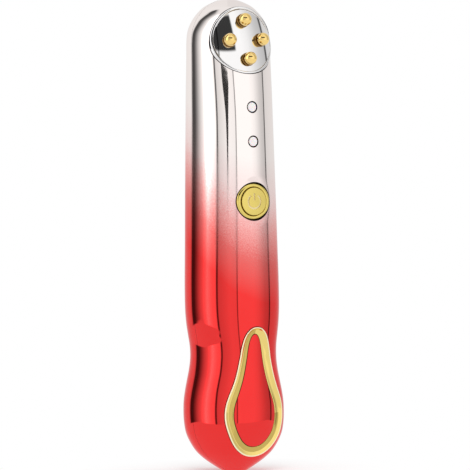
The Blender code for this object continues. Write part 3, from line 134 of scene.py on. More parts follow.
# Button
BUTTON_HEIGHT = 0.1003
BUTTON_FLOOR = 0.015
BUTTON_SEAT_THICKNESS = 0.0018
BUTTON_FLAT_DEPTH = 0.0169
BUTTON_FLAT_SHARE = 0.4
BUTTON_FLAT_RADIUS = 0.0066
BUTTON_FLAT_END = 0.01
# The skin has finer rows near the button
FINER_REACH = 0.0115
FINER_STEP = 0.0005
FINER_GAP = 0.15 * MM
BOSS_RADIUS = 0.0092
BOSS_SKIN = 0.5 * MM
WELL_RADIUS = 0.0072
BEZEL_RADIUS = 0.0069
BEZEL_INNER = 0.00532
BEZEL_FACE = 0.0173
BEZEL_BACK = 0.016
CAP_RADIUS = 0.00515
CAP_FACE = 0.01765
CAP_CROWN = 0.0003
CAP_CROWN_SHARE = 0.94
CAP_RINGS = 12
CAP_GAP = 0.0003
CAP_FLANGE_RADIUS = 0.0064
CAP_FLANGE = 0.0007
SYMBOL_RADIUS = 0.0026
SYMBOL_STROKE = 0.0006
SYMBOL_DEPTH = 0.0001
SYMBOL_OPENING = math.radians(34)
SYMBOL_BAR_TOP = 0.003
SYMBOL_BAR_FOOT = 0.0004
SYMBOL_STEPS = 56
SYMBOL_REACH = 0.0035
SYMBOL_LEAST = 0.00004

# Lights
LIGHT_HEIGHTS = (0.1224, 0.1351)
LIGHT_RADIUS = 0.00172
LIGHT_HOLE_RADIUS = 0.00224
LIGHT_FLANGE_RADIUS = 0.0027
LIGHT_FLANGE = 0.0008
LIGHT_FLANGE_FACE = 0.0143
LIGHT_BACK = 0.0106
LIGHT_FACE_SHARE = 0.93
LIGHT_RINGS = 6
LIGHT_EDGE = 0.0001
LIGHT_SINK = 0.00002

# Teardrop trim
TRIM_WIDTH = 0.0242
TRIM_TOP = 0.054
TRIM_FOOT = 0.006
TRIM_BAND = 0.0027
TRIM_LINE = 0.0002
FIELD_SINK = 0.0012
TRIM_CLEAR = 0.002
TRIM_SEAT = 0.0017
# The recess closes in from its outline to a point
RECESS_MIDDLE_SHARE = 0.33
RECESS_LAST_SHARE = 0.08
RECESS_RINGS = 12
TRIM_SHARES = (
    (0.000, 1.000), (0.085, 0.990), (0.158, 0.955), (0.205, 0.905), (0.238, 0.838),
    (0.260, 0.770), (0.291, 0.693), (0.333, 0.612), (0.388, 0.534), (0.446, 0.462),
    (0.484, 0.398), (0.500, 0.330), (0.489, 0.260), (0.443, 0.182), (0.372, 0.112),
    (0.276, 0.055), (0.148, 0.014), (0.000, 0.000),
)
TRIM_STEPS = 6
# Above this height the band's right side gets no painted shade, so it is painted as lit all over
TRIM_PAINTED_LIGHT_HEIGHT = 0.022
# Strips of the section that make its crest, which gets a painted highlight, and the first of its
# inner slope, which gets painted shade
TRIM_CREST_STRIPS = (2, 5)
TRIM_PAINTED_SHADE_STRIP = 9
# Section of the band: across as a share of its width, lift in metres
TRIM_SECTION = (
    (0.00, -0.00160), (0.00, 0.00022), (0.01, 0.00036), (0.04, 0.00050),
    (0.08, 0.00056), (0.12, 0.00052), (0.17, 0.00038), (0.24, 0.00006),
    (0.32, -0.00028), (0.42, -0.00060), (0.55, -0.00085), (0.70, -0.00101),
    (0.85, -0.00107), (0.94, -0.00109), (0.98, -0.00116), (1.00, -0.00128),
    (1.00, -0.00160),
)

# Charging socket
SOCKET_HEIGHT = 0.0205
SOCKET_HALF_WIDTH = 0.00477
SOCKET_HALF_HEIGHT = 0.00193
SOCKET_BACK = 0.0112
SOCKET_SIDES = 64

# Sides of each turned form, and a turn that keeps a cutter's edges off those of what it cuts
TURNED = {
    "pocket": (150, 0.013),
    "seat": (72, 0.007),
    "ring": (192, 0.0),
    "plate": (144, 0.009),
    "pin_hole": (48, 0.02),
    "electrode": (64, 0.0),
    "boss": (72, 0.017),
    "well": (110, 0.011),
    "bezel": (144, 0.0),
    "cap": (144, 0.004),
    "light_hole": (60, 0.013),
    "light": (64, 0.004),
    "light_base": (64, 0.03),
}

# Profiles of the head's ring and the button's surround: radius, and height on its axis
RING_PROFILE = (
    (RING_RADIUS - RING_WIDTH, -PLATE_THICKNESS),
    (RING_RADIUS - RING_WIDTH, RING_PROUD - 0.0001),
    (RING_RADIUS - RING_WIDTH + 0.0003, RING_PROUD),
    (RING_RADIUS - 0.0003, RING_PROUD),
    (RING_RADIUS, RING_PROUD - 0.0002),
    (RING_RADIUS, -PLATE_THICKNESS),
)
BEZEL_PROFILE = (
    (BEZEL_INNER, BEZEL_BACK),
    (BEZEL_INNER, BEZEL_FACE - 0.00025),
    (BEZEL_INNER + 0.0003, BEZEL_FACE),
    (BEZEL_RADIUS - 0.0007, BEZEL_FACE),
    (BEZEL_RADIUS - 0.0001, BEZEL_FACE - 0.0004),
    (BEZEL_RADIUS, BEZEL_FACE - 0.0008),
    (BEZEL_RADIUS, BEZEL_BACK),
)

# Roundings of the edges, and the angles in degrees above which an edge stays sharp
RING_ROUNDING = 0.00022
PIN_ROUNDING = 0.00018
BEZEL_ROUNDING = 0.0003
CAP_ROUNDING = 0.0003
LIGHT_ROUNDING = 0.0001
PIECE_SHARP = 50
CAP_SHARP = 40

# Photograph: the camera stands 30 degrees to the left of the front
CAMERA_AZIMUTH = -30.0
CAMERA_ELEVATION = 2.0
CAMERA_DISTANCE = 2.0
CAMERA_ROLL = 0.87
IMAGE_WIDTH = 0.17465
IMAGE_MIDDLE = 0.0875
IMAGE_SIDE = 0.00152

# Dark card that the front reflects: height and half width from its point up
WEDGE_AZIMUTH = -15.0
WEDGE_DISTANCE = 0.3
WEDGE_EDGE = ((0.098, 0.0), (0.110, 0.004), (0.124, 0.008), (0.147, 0.018), (0.167, 0.036),
              (0.182, 0.046))


# ---- shape of the body

def smooth_rows(rows, per_row, closed=False):
    """Points of a smooth curve through the rows, with per_row steps between each two."""
    rows = np.asarray(rows, float)
    if closed:
        padded = np.vstack([rows[-1:], rows, rows[:2]])
        count = len(rows)
    else:
        first = 2 * rows[0] - rows[1]
        last = 2 * rows[-1] - rows[-2]
        padded = np.vstack([first[None], rows, last[None]])
        count = len(rows) - 1
    out = []
    for index in range(count):
        a, b, c, d = padded[index:index + 4]
        for step in range(per_row):
            t = step / per_row
            out.append(0.5 * (2 * b + (c - a) * t + (2 * a - 5 * b + 4 * c - d) * t * t
                              + (3 * b - a - 3 * c + d) * t ** 3))
    if not closed:
        out.append(rows[-1])
    return np.array(out)


def body_rows(per_row):
    rows = smooth_rows(BODY_SHARES, per_row)
    rows[:, 0] *= LENGTH
    rows[:, 1:] *= BODY_RADIUS * SKIN_FIT
    return rows


LOOKUP = body_rows(LOOKUP_ROWS)
SLOPES = [np.gradient(LOOKUP[:, column] ** 2, LOOKUP[:, 0]) for column in (1, 2, 3)]


def lookup(height, column):
    return np.interp(height, LOOKUP[:, 0], LOOKUP[:, column])


def slope(height, column):
    """Rate at which the square of a half width or depth changes with the height."""
    return np.interp(height, LOOKUP[:, 0], SLOPES[column - 1])


def flatness(side, height):
    """How far the body is flattened round the button, falling to 0 away from it."""
    reach = np.hypot(side, np.asarray(height) - BUTTON_HEIGHT)
    share = np.clip((BUTTON_FLAT_END - reach) / (BUTTON_FLAT_END - BUTTON_FLAT_RADIUS), 0, 1)
    return share * share * (3 - 2 * share) * BUTTON_FLAT_SHARE


def front_depth(side, height):
    """Depth of the skin before the axis. The left side is flattened only where it stands out."""
    side = np.asarray(side, float)
    half = lookup(height, 1)
    base = lookup(height, 2) * np.sqrt(np.clip(1 - (side / np.maximum(half, 1e-9)) ** 2, 0, 1))
    change = (BUTTON_FLAT_DEPTH - base) * flatness(side, height)
    return base + np.where(side < 0, np.minimum(change, 0), change)


def graph_normal(side, height):
    across = (front_depth(side + NUDGE, height) - front_depth(side - NUDGE, height)) / (2 * NUDGE)
    along = (front_depth(side, height + NUDGE) - front_depth(side, height - NUDGE)) / (2 * NUDGE)
    normal = np.stack([-across, -np.ones_like(across), -along], axis=-1)
    return normal / np.linalg.norm(normal, axis=-1, keepdims=True)


def front_points(side, height, lift):
    """Points over plan positions on the front, lifted off the skin along its normal."""
    side = np.asarray(side, float)
    height = np.asarray(height, float)
    place = np.stack([side, -front_depth(side, height), height], axis=-1)
    return place + graph_normal(side, height) * lift


def skin_normals(points):
    """The body's outward direction at points on it or near it."""
    x, y, z = points.T
    wide = lookup(z, 1) ** 2
    wide_slope = slope(z, 1)
    front = y < 0
    deep = np.where(front, lookup(z, 2), lookup(z, 3)) ** 2
    deep_slope = np.where(front, slope(z, 2), slope(z, 3))
    normal = np.stack([
        2 * x * deep,
        2 * y * wide,
        x * x * deep_slope + y * y * wide_slope - wide_slope * deep - wide * deep_slope,
    ], axis=1)
    length = np.linalg.norm(normal, axis=1, keepdims=True)
    normal = np.where(length > 1e-16, normal / np.maximum(length, 1e-16), [0, 0, 1])
    near = front & (flatness(x, z) > 0)
    if near.any():
        normal[near] = graph_normal(x[near], z[near])
    return normal


# ---- mesh helpers

def new_object(name, points, faces):
    mesh = bpy.data.meshes.new(name)
    mesh.from_pydata([tuple(map(float, point)) for point in points], [], faces)
    mesh.validate()
    mesh.update()
    thing = bpy.data.objects.new(name, mesh)
    bpy.context.scene.collection.objects.link(thing)
    return thing


def ring_faces(rings, sides, closed_rings=False):
    faces = []
    for ring in range(rings if closed_rings else rings - 1):
        above = (ring + 1) % rings
        for side in range(sides):
            beside = (side + 1) % sides
            faces.append((ring * sides + side, ring * sides + beside,
                          above * sides + beside, above * sides + side))
    return faces


def finer_rows(rows):
    """The rows with more of them where the body is flattened round the button."""
    extra = np.arange(BUTTON_HEIGHT - FINER_REACH, BUTTON_HEIGHT + FINER_REACH, FINER_STEP)
    apart = np.abs(extra[:, None] - rows[:, 0]).min(axis=1) > FINER_GAP
    heights = np.sort(np.concatenate([rows[:, 0], extra[apart]]))
    return np.stack([heights] + [lookup(heights, column) for column in (1, 2, 3)], axis=1)


def body_form(name, sides, per_row, sink=0.0, finer=False):
    """The whole body as one closed solid, its skin sunk by a distance all over."""
    rows = body_rows(per_row)[:-1]
    if finer:
        rows = finer_rows(rows)
    turns = 2 * math.pi * (np.arange(sides) + 0.5) / sides
    rings = []
    for height, half, front, rear in rows:
        side = half * np.sin(turns)
        depth = np.where(np.cos(turns) > 0, front, rear) * -np.cos(turns)
        ring = np.stack([side, depth, np.full(sides, height)], axis=1)
        rings.append(ring)
    points = np.vstack(rings)
    facing = points[:, 1] < 0
    near = facing & (flatness(points[:, 0], points[:, 2]) > 0)
    points[near, 1] = -front_depth(points[near, 0], points[near, 2])
    if sink:
        points = points - skin_normals(points) * sink
    foot_height = points[:sides, 2].mean()
    faces = ring_faces(len(rows), sides)
    top = len(points)
    points = np.vstack([points, [[0, 0, LENGTH - sink], [0, 0, foot_height]]])
    start = (len(rows) - 1) * sides
    for side in range(sides):
        beside = (side + 1) % sides
        faces.append((start + side, start + beside, top))
        faces.append((top + 1, beside, side))
    return new_object(name, points, faces)


def lathe(name, profile, sides, turn_start):
    """A profile of (radius, height) points turned round local Z, down its outer side."""
    closed = profile[0][0] > 0
    points = []
    faces = []
    starts = []
    for radius, height in profile:
        starts.append(len(points))
        if radius <= 0:
            points.append((0, 0, height))
            continue
        for side in range(sides):
            turn = 2 * math.pi * side / sides + turn_start
            points.append((radius * math.cos(turn), radius * math.sin(turn), height))
    links = list(zip(range(len(profile) - 1), range(1, len(profile))))
    if closed:
        links.append((len(profile) - 1, 0))
    for upper, lower in links:
        for side in range(sides):
            beside = (side + 1) % sides
            high = starts[upper]
            low = starts[lower]
            if profile[upper][0] <= 0:
                faces.append((high, low + side, low + beside))
            elif profile[lower][0] <= 0:
                faces.append((low, high + beside, high + side))
            else:
                faces.append((high + beside, high + side, low + side, low + beside))
    return new_object(name, points, faces)


def softened(profile, reach, steps=4):
    """The profile with each inner corner rounded off."""
    out = [profile[0]]
    for before, corner, after in zip(profile, profile[1:], profile[2:]):
        here = Vector(corner)
        back = Vector(before) - here
        ahead = Vector(after) - here
        start = here + back.normalized() * min(reach, back.length * 0.45)
        end = here + ahead.normalized() * min(reach, ahead.length * 0.45)
        for step in range(steps + 1):
            share = step / steps
            out.append(tuple(start.lerp(here, share).lerp(here.lerp(end, share), share)))
    out.append(profile[-1])
    return out


def arc(middle, radius, first, last, steps):
    """Points of an arc in a profile, angles from straight up towards the outside."""
    out = []
    for step in range(steps + 1):
        turn = first + (last - first) * step / steps
        out.append((radius * math.sin(turn), middle + radius * math.cos(turn)))
    return out


def settle(thing):
    bpy.context.view_layer.update()
    graph = bpy.context.evaluated_depsgraph_get()
    mesh = bpy.data.meshes.new_from_object(thing.evaluated_get(graph))
    mesh.transform(thing.matrix_world)
    old = thing.data
    thing.modifiers.clear()
    thing.data = mesh
    thing.matrix_world = Matrix.Identity(4)
    bpy.data.meshes.remove(old)
    return thing


def boolean(thing, other, operation="DIFFERENCE"):
    """Applies one cut or union, and deletes the other operand."""
    modifier = thing.modifiers.new(other.name, "BOOLEAN")
    modifier.operation = operation
    modifier.solver = "EXACT"
    modifier.object = other
    settle(thing)
    mesh = other.data
    bpy.data.objects.remove(other, do_unlink=True)
    bpy.data.meshes.remove(mesh)
    return thing


def box(name, low, high):
    corners = [(x, y, z) for x in (low[0], high[0]) for y in (low[1], high[1])
               for z in (low[2], high[2])]
    faces = [(0, 1, 3, 2), (4, 6, 7, 5), (0, 4, 5, 1), (2, 3, 7, 6), (0, 2, 6, 4), (1, 5, 7, 3)]
    return new_object(name, corners, faces)


def smooth(thing, degrees):
    thing.data.shade_smooth()
    thing.data.set_sharp_from_angle(angle=math.radians(degrees))
    return thing


def read(rows, field, width=1, kind=float):
    """One field of a mesh's rows as an array, with a column for each of its numbers."""
    values = np.empty(len(rows) * width, kind)
    rows.foreach_get(field, values)
    return values.reshape(-1, width) if width > 1 else values


def set_normals(thing, normal_at, alike, second_slot=False):
    """Gives loops on a known surface its exact normals; with second_slot, other faces take the
    second slot.
    """
    mesh = thing.data
    smooth(thing, SKIN_SHARP)
    points = read(mesh.vertices, "co", 3)
    face_normals = read(mesh.polygons, "normal", 3)
    totals = read(mesh.polygons, "loop_total", kind=int)
    corners = read(mesh.loops, "vertex_index", kind=int)
    owner = np.repeat(np.arange(len(totals)), totals)
    exact = normal_at(points)
    close = np.einsum("ij,ij->i", exact[corners], face_normals[owner])
    starts = np.concatenate([[0], np.cumsum(totals)[:-1]])
    skin = np.minimum.reduceat(close, starts) > alike
    if second_slot:
        # The floors of the button's well and the trim's groove face as the skin does, but lie deep
        centres = read(mesh.polygons, "center", 3)
        behind = front_depth(centres[:, 0], centres[:, 2]) + centres[:, 1]
        skin &= (centres[:, 1] > 0) | (-normal_at(centres)[:, 1] * behind < DEEP)
        foot = (face_normals[:, 2] < FOOT_FACING) & (centres[:, 2] < FOOT_REACH)
        index = np.where(skin | foot, 0, 1).astype(np.int32)
        mesh.polygons.foreach_set("material_index", index)
    loops = np.where(skin[owner][:, None], exact[corners], 0.0)
    mesh.normals_split_custom_set([tuple(normal) for normal in loops])
    return thing


# ---- frames

def facing_front(side, height):
    """Local Z points to the front, so local heights are depths in front of the axis."""
    return Matrix.Translation((side, 0, height)) @ Matrix.Rotation(math.pi / 2, 4, "X")


def head_frame():
    turn = Matrix.Rotation(math.pi / 2 - HEAD_LEAN, 4, "X")
    return Matrix.Translation((0, -HEAD_DEPTH, HEAD_HEIGHT)) @ turn


def bend_drop(side):
    return PLATE_BEND - math.sqrt(PLATE_BEND ** 2 - side ** 2)


def bent(thing):
    for vertex in thing.data.vertices:
        vertex.co.z -= bend_drop(vertex.co.x)
    thing.data.transform(head_frame())
    return thing


def pin_frames():
    frames = {}
    for name, side, up in (
        ("top", 0, PIN_CIRCLE_UP),
        ("bottom", 0, -PIN_CIRCLE_UP),
        ("left", -PIN_CIRCLE_SIDE, 0),
        ("right", PIN_CIRCLE_SIDE, 0),
    ):
        place = Matrix.Translation((side, up, -bend_drop(side)))
        turn = Matrix.Rotation(math.asin(side / PLATE_BEND), 4, "Y")
        frames[name] = head_frame() @ place @ turn
    return frames


# ---- housing

def parting_slab(name, behind, front=True):
    """The space in front of (or behind) the parting plane moved back by a distance."""
    if front:
        slab = box(name, (-EVER, -EVER, -EVER), (EVER, behind, EVER))
    else:
        slab = box(name, (-EVER, behind, -EVER), (EVER, EVER, EVER))
    slab.matrix_world = (Matrix.Translation((0, -PARTING_FRONT, 0))
                         @ Matrix.Rotation(-PARTING_LEAN, 4, "X"))
    return slab


def cavity():
    return body_form("cavity", CAVITY_SIDES, CAVITY_ROWS, WALL)


def trim_outline(inset):
    tall = TRIM_TOP - TRIM_FOOT
    half = [(side * TRIM_WIDTH, TRIM_FOOT + up * tall) for side, up in TRIM_SHARES]
    outline = half + [(-side, up) for side, up in reversed(half[1:-1])]
    fine = smooth_rows(outline, TRIM_STEPS, closed=True)
    run = np.roll(fine, -1, axis=0) - np.roll(fine, 1, axis=0)
    run /= np.linalg.norm(run, axis=1, keepdims=True)
    return fine + np.stack([run[:, 1], -run[:, 0]], axis=1) * inset


def band(name, section):
    """A closed band round the teardrop, with a section of (inset, lift) pairs."""
    loops = []
    for inset, lift in section:
        outline = trim_outline(inset)
        loops.append(front_points(outline[:, 0], outline[:, 1], lift))
    faces = [face[::-1] for face in ring_faces(len(loops), len(loops[0]), closed_rings=True)]
    return new_object(name, np.vstack(loops), faces)


def trim_recess():
    outline = trim_outline(TRIM_BAND / 2)
    middle = np.array([0, TRIM_FOOT + (TRIM_TOP - TRIM_FOOT) * RECESS_MIDDLE_SHARE])
    count = len(outline)
    shares = np.linspace(1, RECESS_LAST_SHARE, RECESS_RINGS)
    points = []
    for lift in (TRIM_CLEAR, -FIELD_SINK):
        for share in shares:
            plan = middle + (outline - middle) * share
            points.append(front_points(plan[:, 0], plan[:, 1], lift))
        points.append(front_points(middle[:1], middle[1:], lift))
    rings = len(shares)
    sheet = rings * count + 1
    faces = []
    for start, flip in ((0, False), (sheet, True)):
        for ring in range(rings - 1):
            for i in range(count):
                j = (i + 1) % count
                low = start + ring * count
                face = (low + j, low + i, low + count + i, low + count + j)
                faces.append(face[::-1] if flip else face)
        for i in range(count):
            j = (i + 1) % count
            last = start + (rings - 1) * count
            face = (last + j, last + i, start + sheet - 1)
            faces.append(face[::-1] if flip else face)
    for i in range(count):
        j = (i + 1) % count
        faces.append((i, j, sheet + j, sheet + i))
    return new_object("recess", np.vstack(points), faces)


def head_pocket():
    floor = -SEAT_DEPTH
    radius = RING_RADIUS + TRIM_LINE
    profile = ((0, 2 * RING_RADIUS), (radius, 2 * RING_RADIUS), (radius, floor),
               (SEAL_INNER, floor), (SEAL_INNER, -2 * RING_RADIUS), (0, -2 * RING_RADIUS))
    return bent(lathe("pocket", profile, *TURNED["pocket"]))


def head_seat():
    foot = -SEAT_DEPTH - SEAT_LEDGE
    inner = SEAL_INNER - SEAT_LEDGE
    profile = ((inner, -PLATE_THICKNESS), (SEAT_RADIUS, -PLATE_THICKNESS), (SEAT_RADIUS, foot),
               (inner, foot))
    seat = bent(lathe("seat", profile, *TURNED["seat"]))
    return boolean(seat, body_form("limit", CAVITY_SIDES, CAVITY_ROWS, SEAT_SKIN), "INTERSECT")


def button_boss():
    foot = BUTTON_FLOOR - BUTTON_SEAT_THICKNESS
    face = BUTTON_FLAT_DEPTH - MM
    profile = ((0, face), (BOSS_RADIUS, face), (BOSS_RADIUS, foot), (0, foot))
    boss = lathe("boss", profile, *TURNED["boss"])
    boss.data.transform(facing_front(0, BUTTON_HEIGHT))
    return boolean(boss, body_form("limit", CAVITY_SIDES, CAVITY_ROWS, BOSS_SKIN), "INTERSECT")


def button_well():
    hole = CAP_RADIUS + CAP_GAP
    profile = ((0, 2 * BEZEL_FACE), (WELL_RADIUS, 2 * BEZEL_FACE), (WELL_RADIUS, BUTTON_FLOOR),
               (hole, BUTTON_FLOOR), (hole, BUTTON_FLOOR / 2), (0, BUTTON_FLOOR / 2))
    well = lathe("well", profile, *TURNED["well"])
    well.data.transform(facing_front(0, BUTTON_HEIGHT))
    return well


def light_hole(height):
    profile = ((0, 2 * BODY_RADIUS), (LIGHT_HOLE_RADIUS, 2 * BODY_RADIUS),
               (LIGHT_HOLE_RADIUS, BUTTON_FLOOR / 2), (0, BUTTON_FLOOR / 2))
    hole = lathe("light_hole", profile, *TURNED["light_hole"])
    hole.data.transform(facing_front(0, height))
    return hole


def housing_front():
    shell = body_form("housing_front", SKIN_SIDES, SKIN_ROWS, finer=True)
    boolean(shell, parting_slab("half", -SEAM), "INTERSECT")
    boolean(shell, cavity())
    boolean(shell, head_seat(), "UNION")
    boolean(shell, button_boss(), "UNION")
    boolean(shell, head_pocket())
    boolean(shell, button_well())
    for height in LIGHT_HEIGHTS:
        boolean(shell, light_hole(height))
    boolean(shell, trim_recess())
    edge = TRIM_LINE
    floor = -TRIM_SEAT
    section = ((-edge, floor), (-edge, TRIM_CLEAR), (TRIM_BAND + edge, TRIM_CLEAR),
               (TRIM_BAND + edge, floor))
    boolean(shell, band("groove", section))
    return set_normals(shell, skin_normals, SKIN_ALIKE, second_slot=True)


def stadium(name, half_width, half_height, front, rear):
    count = SOCKET_SIDES
    points = []
    straight = half_width - half_height
    for depth in (front, rear):
        for i in range(count):
            turn = 2 * math.pi * (i + 0.5) / count
            shift = straight if math.cos(turn) > 0 else -straight
            points.append((half_height * math.cos(turn) + shift, depth,
                           SOCKET_HEIGHT + half_height * math.sin(turn)))
    faces = [tuple(range(count)), tuple(reversed(range(count, 2 * count)))]
    for i in range(count):
        j = (i + 1) % count
        faces.append((i, i + count, j + count, j))
    return new_object(name, points, faces)


def housing_rear():
    shell = body_form("housing_rear", SKIN_SIDES, SKIN_ROWS)
    boolean(shell, parting_slab("half", SEAM, front=False), "INTERSECT")
    boolean(shell, cavity())
    boolean(shell, stadium("opening", SOCKET_HALF_WIDTH, SOCKET_HALF_HEIGHT, SOCKET_BACK,
                           2 * BODY_RADIUS))
    return set_normals(shell, skin_normals, SKIN_ALIKE, second_slot=True)


# ---- pieces on the housing

def head_ring():
    ring = lathe("head_rim", softened(RING_PROFILE, RING_ROUNDING), *TURNED["ring"])
    return smooth(bent(ring), PIECE_SHARP)


def head_plate():
    """The mirror plate: bent across as the head is, with a slight crown from top to bottom."""
    radius = RING_RADIUS - RING_WIDTH - PLATE_CLEAR
    edge = PLATE_EDGE
    rings = [radius * share for share in np.linspace(0, PLATE_FACE_SHARE, PLATE_RINGS)]
    profile = [(r, 0) for r in rings] + [(radius - PLATE_CLEAR, -edge / 3), (radius, -edge)]
    profile += [(radius, -PLATE_THICKNESS), (0, -PLATE_THICKNESS)]
    plate = lathe("head_mirror", profile, *TURNED["plate"])
    for vertex in plate.data.vertices:
        if vertex.co.z > -2 * edge:
            vertex.co.z += PLATE_CROWN - vertex.co.y ** 2 / (2 * PLATE_CROWN_RADIUS)
    bent(plate)
    hole_profile = ((0, PIN_HOLE_FRONT), (PIN_HOLE_RADIUS, PIN_HOLE_FRONT),
                    (PIN_HOLE_RADIUS, -PIN_HOLE_BACK), (0, -PIN_HOLE_BACK))
    for place in pin_frames().values():
        hole = lathe("pin_hole", hole_profile, *TURNED["pin_hole"])
        hole.data.transform(place)
        boolean(plate, hole)
    inverse = np.array(head_frame().inverted())
    turn = np.array(head_frame().to_3x3())

    def normal_at(points):
        local = points @ inverse[:3, :3].T + inverse[:3, 3]
        x = local[:, 0]
        y = local[:, 1]
        fall = x / np.sqrt(PLATE_BEND ** 2 - x * x)
        normal = np.stack([fall, y / PLATE_CROWN_RADIUS, np.ones_like(x)], axis=1)
        normal /= np.linalg.norm(normal, axis=1, keepdims=True)
        return normal @ turn.T

    return set_normals(plate, normal_at, PLATE_ALIKE)


def electrode(name, place):
    neck_turn = math.pi - math.asin(NECK_RADIUS / BALL_RADIUS)
    profile = arc(BALL_LIFT, BALL_RADIUS, 0, neck_turn, BALL_STEPS)
    rim = FLANGE_RADIUS
    top = FLANGE_LIFT + FLANGE_THICKNESS
    tail = [profile[-1], (NECK_RADIUS + PIN_EDGE, top), (rim - PIN_EDGE, top), (rim, FLANGE_LIFT),
            (SHANK_RADIUS, FLANGE_LIFT), (SHANK_RADIUS, -SHANK_END), (0, -SHANK_END)]
    profile = profile[:-1] + softened(tail, PIN_ROUNDING)
    pin = lathe(name, profile, *TURNED["electrode"])
    # The underside of the ball, its neck and its flange get a painted shade, a darker gold
    for face in pin.data.polygons:
        face.material_index = 1 if face.center.z < BALL_LIFT - BALL_PAINTED_SHADE_DROP else 0
    pin.data.transform(place)
    return smooth(pin, PIECE_SHARP)


def button_bezel():
    bezel = lathe("button_surround", softened(BEZEL_PROFILE, BEZEL_ROUNDING), *TURNED["bezel"])
    bezel.data.transform(facing_front(0, BUTTON_HEIGHT))
    return smooth(bezel, PIECE_SHARP)


def symbol_cutter():
    half = SYMBOL_STROKE / 2
    low = -SYMBOL_DEPTH
    high = CAP_CROWN + SYMBOL_DEPTH
    count = SYMBOL_STEPS
    points = []
    faces = []
    for i in range(count + 1):
        turn = SYMBOL_OPENING + (2 * math.pi - 2 * SYMBOL_OPENING) * i / count
        for radius, height in ((SYMBOL_RADIUS - half, low), (SYMBOL_RADIUS + half, low),
                               (SYMBOL_RADIUS + half, high), (SYMBOL_RADIUS - half, high)):
            points.append((radius * math.sin(turn), radius * math.cos(turn), height))
    for i in range(count):
        for k in range(4):
            m = (k + 1) % 4
            faces.append((4 * i + k, 4 * i + m, 4 * i + 4 + m, 4 * i + 4 + k))
    faces.append((3, 2, 1, 0))
    faces.append((4 * count, 4 * count + 1, 4 * count + 2, 4 * count + 3))
    return new_object("symbol_arc", points, faces)


def button_cap():
    """The moving cap, built with its face at local zero."""
    flange_top = BUTTON_FLOOR - BUTTON_SEAT_THICKNESS - CAP_GAP - CAP_FACE
    radius = CAP_RADIUS
    crown = [(radius * share, CAP_CROWN * (1 - share * share))
             for share in np.linspace(0, CAP_CROWN_SHARE, CAP_RINGS)]
    rest = [crown[-1], (radius, 0), (radius, flange_top), (CAP_FLANGE_RADIUS, flange_top),
            (CAP_FLANGE_RADIUS, flange_top - CAP_FLANGE), (0, flange_top - CAP_FLANGE)]
    cap = lathe("button_top", crown[:-1] + softened(rest, CAP_ROUNDING), *TURNED["cap"])
    boolean(cap, symbol_cutter())
    half = SYMBOL_STROKE / 2
    bar = box("symbol_bar", (-half, SYMBOL_BAR_FOOT, -SYMBOL_DEPTH),
              (half, SYMBOL_BAR_TOP, CAP_CROWN + SYMBOL_DEPTH))
    boolean(cap, bar)
    for face in cap.data.polygons:
        x, y, z = face.center
        deep = z < CAP_CROWN * (1 - (x * x + y * y) / radius ** 2) - SYMBOL_LEAST
        face.material_index = 1 if deep and math.hypot(x, y) < SYMBOL_REACH and z > -MM else 0
    cap.data.transform(facing_front(0, BUTTON_HEIGHT) @ Matrix.Translation((0, 0, CAP_FACE)))
    return smooth(cap, CAP_SHARP)


def light_disc(name, height):
    profile = [(LIGHT_RADIUS * share, 0) for share in np.linspace(0, LIGHT_FACE_SHARE, LIGHT_RINGS)]
    profile += [(LIGHT_RADIUS, -LIGHT_EDGE), (LIGHT_RADIUS, -MM)]
    turned = lathe(name, profile + [(0, -MM)], *TURNED["light"])
    for vertex in turned.data.vertices:
        skin = float(front_depth(vertex.co.x, height + vertex.co.y))
        lift = vertex.co.z
        if lift > -0.5 * MM:
            vertex.co.z = skin + lift - LIGHT_SINK
        else:
            vertex.co.z = LIGHT_FLANGE_FACE
    overlap = LIGHT_FLANGE_FACE + LIGHT_EDGE
    step = LIGHT_FLANGE_FACE - LIGHT_FLANGE
    foot = [(LIGHT_RADIUS - LIGHT_EDGE, overlap), (LIGHT_FLANGE_RADIUS, LIGHT_FLANGE_FACE),
            (LIGHT_FLANGE_RADIUS, step), (LIGHT_RADIUS, step), (LIGHT_RADIUS, LIGHT_BACK),
            (0, LIGHT_BACK)]
    base = lathe("light_base", [(0, overlap)] + softened(foot, LIGHT_ROUNDING),
                 *TURNED["light_base"])
    boolean(turned, base, "UNION")
    turned.data.transform(facing_front(0, height))
    return smooth(turned, CAP_SHARP)


def trim():
    section = [(across * TRIM_BAND, lift) for across, lift in TRIM_SECTION]
    turned = band("gold_teardrop", section)
    sides = len(trim_outline(0))
    strips = np.arange(len(turned.data.polygons)) // sides
    first, last = TRIM_CREST_STRIPS
    crest_highlight = (strips >= first) & (strips <= last)
    # The crest gets a painted highlight and the inner slope a painted shade, but the band's upper
    # right is painted as lit and gets no shade
    centres = read(turned.data.polygons, "center", 3)
    bright = (centres[:, 0] > 0) & (centres[:, 2] > TRIM_PAINTED_LIGHT_HEIGHT)
    light_and_shade_tones = np.select([crest_highlight, (strips >= TRIM_PAINTED_SHADE_STRIP) & ~bright], [1, 2], 0)
    turned.data.polygons.foreach_set("material_index", light_and_shade_tones.astype(np.int32))
    return smooth(turned, PIECE_SHARP)


# ---- materials

# Noise between these values is spread over the whole range of what it drives
NOISE_LOW = 0.3
NOISE_HIGH = 0.7
CLOUD_COARSER = 9
LEAST_ROUGHNESS = 0.01


